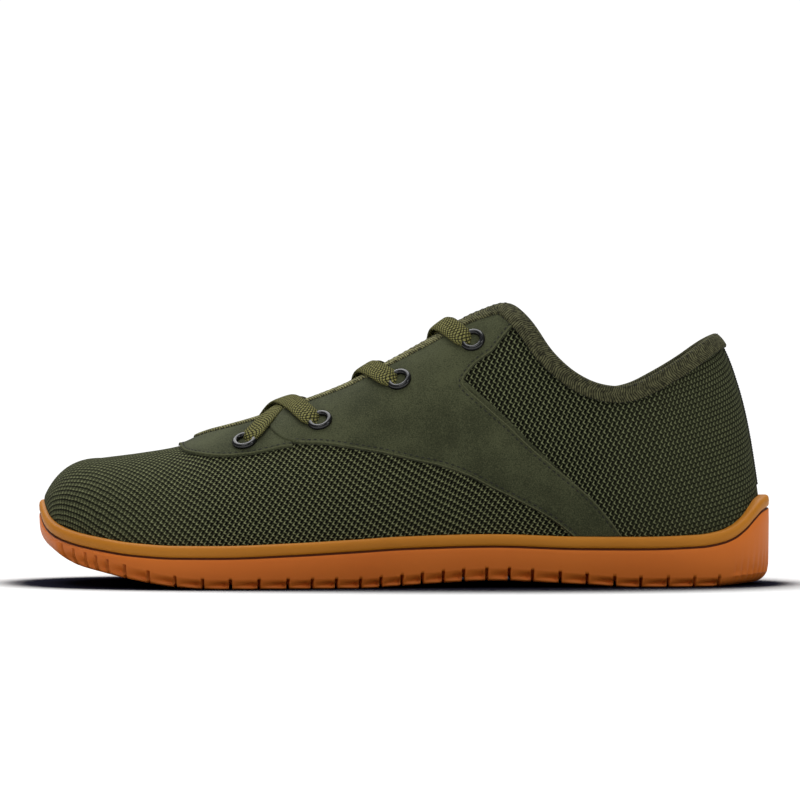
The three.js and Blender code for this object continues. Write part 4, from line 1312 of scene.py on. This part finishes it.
def offset_line(line, inwards, height):
    """A border line of the map moved sideways and lifted off the form."""
    heading_now = np.gradient(line, axis=0)
    heading_now /= np.maximum(np.linalg.norm(heading_now, axis=1), 1e-9)[:, None]
    normal = np.stack([-heading_now[:, 1], heading_now[:, 0]], axis=1)
    moved = line + normal * inwards
    base, out = on_form(moved[:, 0], moved[:, 1])
    return base + out * (height - dents(base)[:, None] * 0.8), out


seam_lines = []
for side in (-1, 1):
    front_line, rear_line = panel_lines[side]
    seam_lines.append(offset_line(front_line, side * 1.55, 1.02))
    seam_lines.append(offset_line(rear_line, -side * 1.55, 1.02))
seam_lines.append(offset_line(outside_line, -1.55, 0.9))
# The dark panel stitches are partly real thread and partly painted shade of the stitch holes.
sew("panel_stitches", seam_lines, 2.3, 1.7, 0.3, thread)
edge_lines = []
for side in (-1, 1):
    front_line, rear_line = panel_lines[side]
    edge_lines.append(offset_line(front_line, side * 0.5, 1.12))
    edge_lines.append(offset_line(rear_line, -side * 0.5, 1.12))
edge_lines.append(offset_line(outside_line, -0.5, 1.0))
sew("panel_edges", edge_lines, 1.4, 2.0, 0.3, edge_cord)
back_turns = np.linspace(0.25, edge_turn(BACK, BINDING_WIDTH) + 0.02, 60)
back_line, back_out = shell(0.1, np.full(60, BACK), back_turns)
back_line = back_line + back_out * fullness(back_line)[:, None]
sew("back_seam", [(back_line, back_out)], 1.0, 1.5, 0.55, thread)
low_edge = tape_points[0]
low_out = np.concatenate([edge_out, edge_out[:1]])
top_edge = tape_points[7]
sew("tape_stitches", [(low_edge + low_out * 0.25, low_out), (top_edge - low_out * 0.05, low_out)],
    2.4, 1.5, 0.2, thread)
print("stitches done")

# %% [markdown]
# ## Tongue and footbed
# The tongue is a soft strip behind the laces, and the footbed a flat sheet on the rubber.

# %% Tongue
tongue_out = -UPPER_WALL - 0.9
tongue_xs = np.linspace(slot_front - 11.0, float(along(0.642)), 90)
tongue_rows = []
tongue_uv = []
for x in tongue_xs:
    t = (x - tongue_xs[0]) / (tongue_xs[-1] - tongue_xs[0])
    half = 22.0 - 3.0 * t
    if t > 0.93:
        half *= math.sqrt(max(1 - ((t - 0.93) / 0.07) ** 2 * 0.75, 0))
    vs = np.linspace(-half, half, 31)
    point, normal = on_form(np.full(31, x), vs)
    tongue_rows.append(point + normal * tongue_out)
    tongue_uv.append(np.stack([np.full(31, x), vs], axis=1))
tongue_top = np.stack(tongue_rows)
tongue_part = lay_grid(tongue_top, np.stack(tongue_uv))
face_outwards(tongue_part, tongue_top[45, 15], (0, 0, 1))
bmesh.ops.solidify(tongue_part, geom=tongue_part.faces[:], thickness=0.0022)
bmesh.ops.recalc_face_normals(tongue_part, faces=tongue_part.faces)
face_outwards(tongue_part, tongue_top[45, 15] + np.array([0, 0, 2.0]), (0, 0, 1))
tongue_piece = finish_piece("tongue_cloth", tongue_part, knit, ("tongue",))

# %% Footbed
bed_runs = np.concatenate([runs, runs[:1] + LOOP])
bed_spots, bed_outs = foot_at(bed_runs)
bed_rows = []
for inset, raised in ((3.6, 0.1), (3.4, 3.4), (4.0, 4.0)):
    inset += 2.2
    flat = bed_spots - bed_outs * inset
    bed_rows.append(np.concatenate([flat, (bed_level(bed_spots[:, 0]) + raised)[:, None]], axis=1))
middle_bed = spine(share(bed_spots[:, 0]))
middle_bed[:, 2] = bed_level(middle_bed[:, 0]) + 4.0
under_bed = middle_bed.copy()
under_bed[:, 2] -= 3.9
bed_part = lay_grid(np.stack([under_bed] + bed_rows + [middle_bed]), merge=0.00001)
face_outwards(bed_part, np.array([20.0, 0.0, 13.0]), (0, 0, 1))
finish_piece("footbed", bed_part, bed_cloth, ("insole",))
print("tongue and footbed done")

# %% [markdown]
# ## Eyelets
# A pressed metal ring: a short tube through the cloth and a rounded flange over it. The section is
# spun once round its axis.

# %% Press the eyelets
def eyelet_place(row, side):
    """The centre and direction of an eyelet."""
    at, height = EYELETS[row]
    u, v = seen_from_side(float(along(at)), height * INSTEP, side)
    point, normal = on_form(u, v)
    return np.array(point), np.array(normal)


SAG = 4.8 ** 2 / (2 * BALL_WIDTH * 0.33)
ring_section = (
    (2.7, -2.0), (2.7, 1.6), (2.85, 2.05), (3.2, 2.4), (3.7, 2.5), (4.3, 2.35), (4.7, 1.95),
    (4.85, 1.4), (4.8, 0.9), (3.4, 0.9), (3.4, -2.0),
)
eyelet_places = {}
for row in range(len(EYELETS)):
    for side, word in ((-1, "outer"), (1, "inner")):
        point, normal = eyelet_place(row, side)
        eyelet_places[row, side] = (point, normal)
        part = bmesh.new()
        bmesh.ops.create_circle(part, segments=len(ring_section), radius=1.0, cap_ends=False)
        part.verts.ensure_lookup_table()
        for vert, (radius, high) in zip(part.verts, ring_section):
            vert.co = Vector((radius / 1000.0, 0.0, high / 1000.0 + SAG / 2000.0))
        bmesh.ops.spin(
            part, geom=part.verts[:] + part.edges[:], cent=(0, 0, 0), axis=(0, 0, 1),
            angle=2 * math.pi, steps=40, use_merge=True, use_duplicate=False,
        )
        bmesh.ops.recalc_face_normals(part, faces=part.faces)
        turn = Vector((0, 0, 1)).rotation_difference(Vector(normal)).to_matrix().to_4x4()
        move = Matrix.Translation(Vector(point / 1000.0) + shift)
        bmesh.ops.transform(part, matrix=move @ turn, verts=part.verts)
        ring_name, eyelet_name = f"ring_{word}_{row + 1}", f"eyelet_{word}_{row + 1}"
        finish_piece(ring_name, part, black_metal, (eyelet_name,))
print("eyelets done")

# %% [markdown]
# ## The lace
# One flat lace crosses from row to row. Each end of a crossing dives into its eyelet, and the lace
# lies on the tape and on itself, so its path is lifted where it passes over.

# %% Thread the lace
LACE_WIDTH = 8.0
LACE_WALL = 1.5
LACE_REST = 2.45
LACE_SAG = 1.2
LACE_HIDDEN = 3.0
DIVE_DEPTH = 1.2
DIVE_SHARE = 0.12
DIVE_NARROWING = 0.42
THROAT_HALF = 11.0


def band(points, normals, widths, wall):
    """A flat woven band along points, with its width at each of them."""
    forward = np.gradient(points, axis=0)
    forward /= np.linalg.norm(forward, axis=1)[:, None]
    across = np.cross(normals, forward)
    across /= np.linalg.norm(across, axis=1)[:, None]
    up = np.cross(forward, across)
    around = np.linspace(0, 2 * math.pi, 25)
    walked = np.concatenate([[0.0], np.cumsum(np.linalg.norm(np.diff(points, axis=0), axis=1))])
    rows, uvs = [], []
    for angle in around:
        side = math.copysign(abs(math.cos(angle)) ** 0.75, math.cos(angle)) * widths / 2
        high = math.copysign(abs(math.sin(angle)) ** 0.6, math.sin(angle)) * wall / 2
        rows.append(points + across * side[:, None] + up * high)
        round_way = angle / math.pi * (LACE_WIDTH + wall)
        uvs.append(np.stack([walked, np.full(len(points), round_way)], axis=1))
    return lay_grid(np.stack(rows), np.stack(uvs), merge=0.000003)


def lace_between(first, second, over):
    """A crossing from one eyelet to another, lying on the tape and lifted by over in the middle.

    Past the first row the leaving half runs inside the throat, so that only the arriving half shows.
    """
    (p0, n0), (p1, n1) = eyelet_places[first], eyelet_places[second]
    along_line = np.linspace(0, 1, 60)
    points, normals, widths = [], [], []
    for t in along_line:
        ease = t * t * (3 - 2 * t)
        x = p0[0] + (p1[0] - p0[0]) * t
        y = p0[1] + (p1[1] - p0[1]) * ease
        u, v = seen_from_above(float(x), float(y))
        base, normal = on_form(u, v)
        base, normal = np.array(base), np.array(normal)
        gap = abs(y - spine(share(np.array([x])))[0, 1])
        rest = LACE_REST + over * math.exp(-((t - 0.5) / 0.2) ** 2)
        if gap < THROAT_HALF:
            rest += 0.4 * (1 - gap / THROAT_HALF)
        dive = max(0.0, 1 - min(t, 1 - t) / DIVE_SHARE)
        lift_now = rest * (1 - dive ** 2) - DIVE_DEPTH * dive ** 2
        if first[0] > 0:
            out_now = min(max((t - 0.36) / 0.26, 0.0), 1.0)
            out_now = out_now * out_now * (3 - 2 * out_now)
            lift_now = lift_now * out_now - LACE_HIDDEN * (1 - out_now)
        points.append(base + normal * lift_now)
        normals.append(normal)
        widths.append(LACE_WIDTH * (1 - DIVE_NARROWING * dive))
    points, normals = np.array(points), np.array(normals)
    for _ in range(3):
        points[1:-1] = 0.5 * points[1:-1] + 0.25 * (points[:-2] + points[2:])
    into = np.array([p0 - n0 * d for d in ((4.4, 3.8) if first[0] > 0 else (3.0, 1.5))])
    out = np.array([p1 - n1 * d for d in (1.5, 3.0)])
    points = np.concatenate([into, points, out])
    normals = np.concatenate([normals[:1], normals[:1], normals, normals[-1:], normals[-1:]])
    widths = np.concatenate([[3.6, 4.0], widths, [4.0, 3.6]])
    return band(points, normals, widths, LACE_WALL)


for row in range(len(EYELETS) - 1):
    under_lace = lace_between((row, -1), (row + 1, 1), -LACE_SAG)
    over_lace = lace_between((row, 1), (row + 1, -1), LACE_WALL * 1.15 - LACE_SAG)
    lace_part = join_parts(under_lace, [over_lace])
    finish_piece(f"lace_{row + 1}", lace_part, woven, (f"lace_crossing_{row + 1}",))
print("laces done")

# %% [markdown]
# ## Floor and light
# The shoe stands on a white sweep under a wide soft light from above, with two small lamps in front
# for the sheen of the rubber and the rings. The floor's colour is painted darker where the sole closes
# it off: a painted contact shadow on top of the shadows that the lamps cast.

# %% Floor and lights
floor_part = bmesh.new()
bmesh.ops.create_grid(floor_part, x_segments=1, y_segments=1, size=6.0)
floor_mesh = bpy.data.meshes.new("floor")
floor_part.to_mesh(floor_mesh)
floor_part.free()
floor = bpy.data.objects.new("floor", floor_mesh)
scene.collection.objects.link(floor)
SWEEP_WHITE = (0.86, 0.86, 0.86, 1.0)
SWEEP_SHADE = (0.012, 0.012, 0.02, 1.0)
floor_paint = Paint("floor_paint", SWEEP_WHITE, 1.0, specular=0.0)
# Painted shadow: an ambient occlusion node mixes the floor's colour towards SWEEP_SHADE near the shoe, a
# painted contact shadow.
shadow_closeness = floor_paint.tree.nodes.new("ShaderNodeAmbientOcclusion")
shadow_closeness.inputs["Distance"].default_value = 0.085
shadow_closeness.samples = 24
painted_shadow_fade = floor_paint.ramp(shadow_closeness.outputs["AO"], 0.71, 0.9)
floor_paint.color(floor_paint.mix(painted_shadow_fade, SWEEP_SHADE, SWEEP_WHITE))
floor_mesh.materials.append(floor_paint.material)

world = bpy.data.worlds.new("world")
scene.world = world
world.use_nodes = True
ambient = world.node_tree.nodes["Background"]
ambient.inputs["Color"].default_value = (1.0, 1.0, 1.0, 1.0)
seen = world.node_tree.nodes.new("ShaderNodeLightPath")
level = world.node_tree.nodes.new("ShaderNodeMapRange")
level.inputs["To Min"].default_value = 0.2
level.inputs["To Max"].default_value = 1.05
world.node_tree.links.new(seen.outputs["Is Camera Ray"], level.inputs["Value"])
world.node_tree.links.new(level.outputs[0], ambient.inputs["Strength"])

sun_data = bpy.data.lights.new("overhead", "SUN")
sun_data.energy = 3.5
sun_data.angle = 1.1
sun = bpy.data.objects.new("overhead", sun_data)
sun.rotation_euler = (math.radians(-20), math.radians(-6), 0.0)
scene.collection.objects.link(sun)


def soft_light(name, place, aim, size, power):
    """A square studio light turned to a point."""
    data = bpy.data.lights.new(name, "AREA")
    data.energy = power
    data.size = size
    lamp = bpy.data.objects.new(name, data)
    lamp.location = place
    lamp.rotation_euler = (Vector(aim) - Vector(place)).to_track_quat("-Z", "Y").to_euler()
    scene.collection.objects.link(lamp)


soft_light("key", (-0.5, -1.4, 1.3), (0, 0, 0.04), 0.8, 7.0)
soft_light("glint", (0.9, -0.9, 0.8), (0, 0, 0.06), 0.25, 3.0)
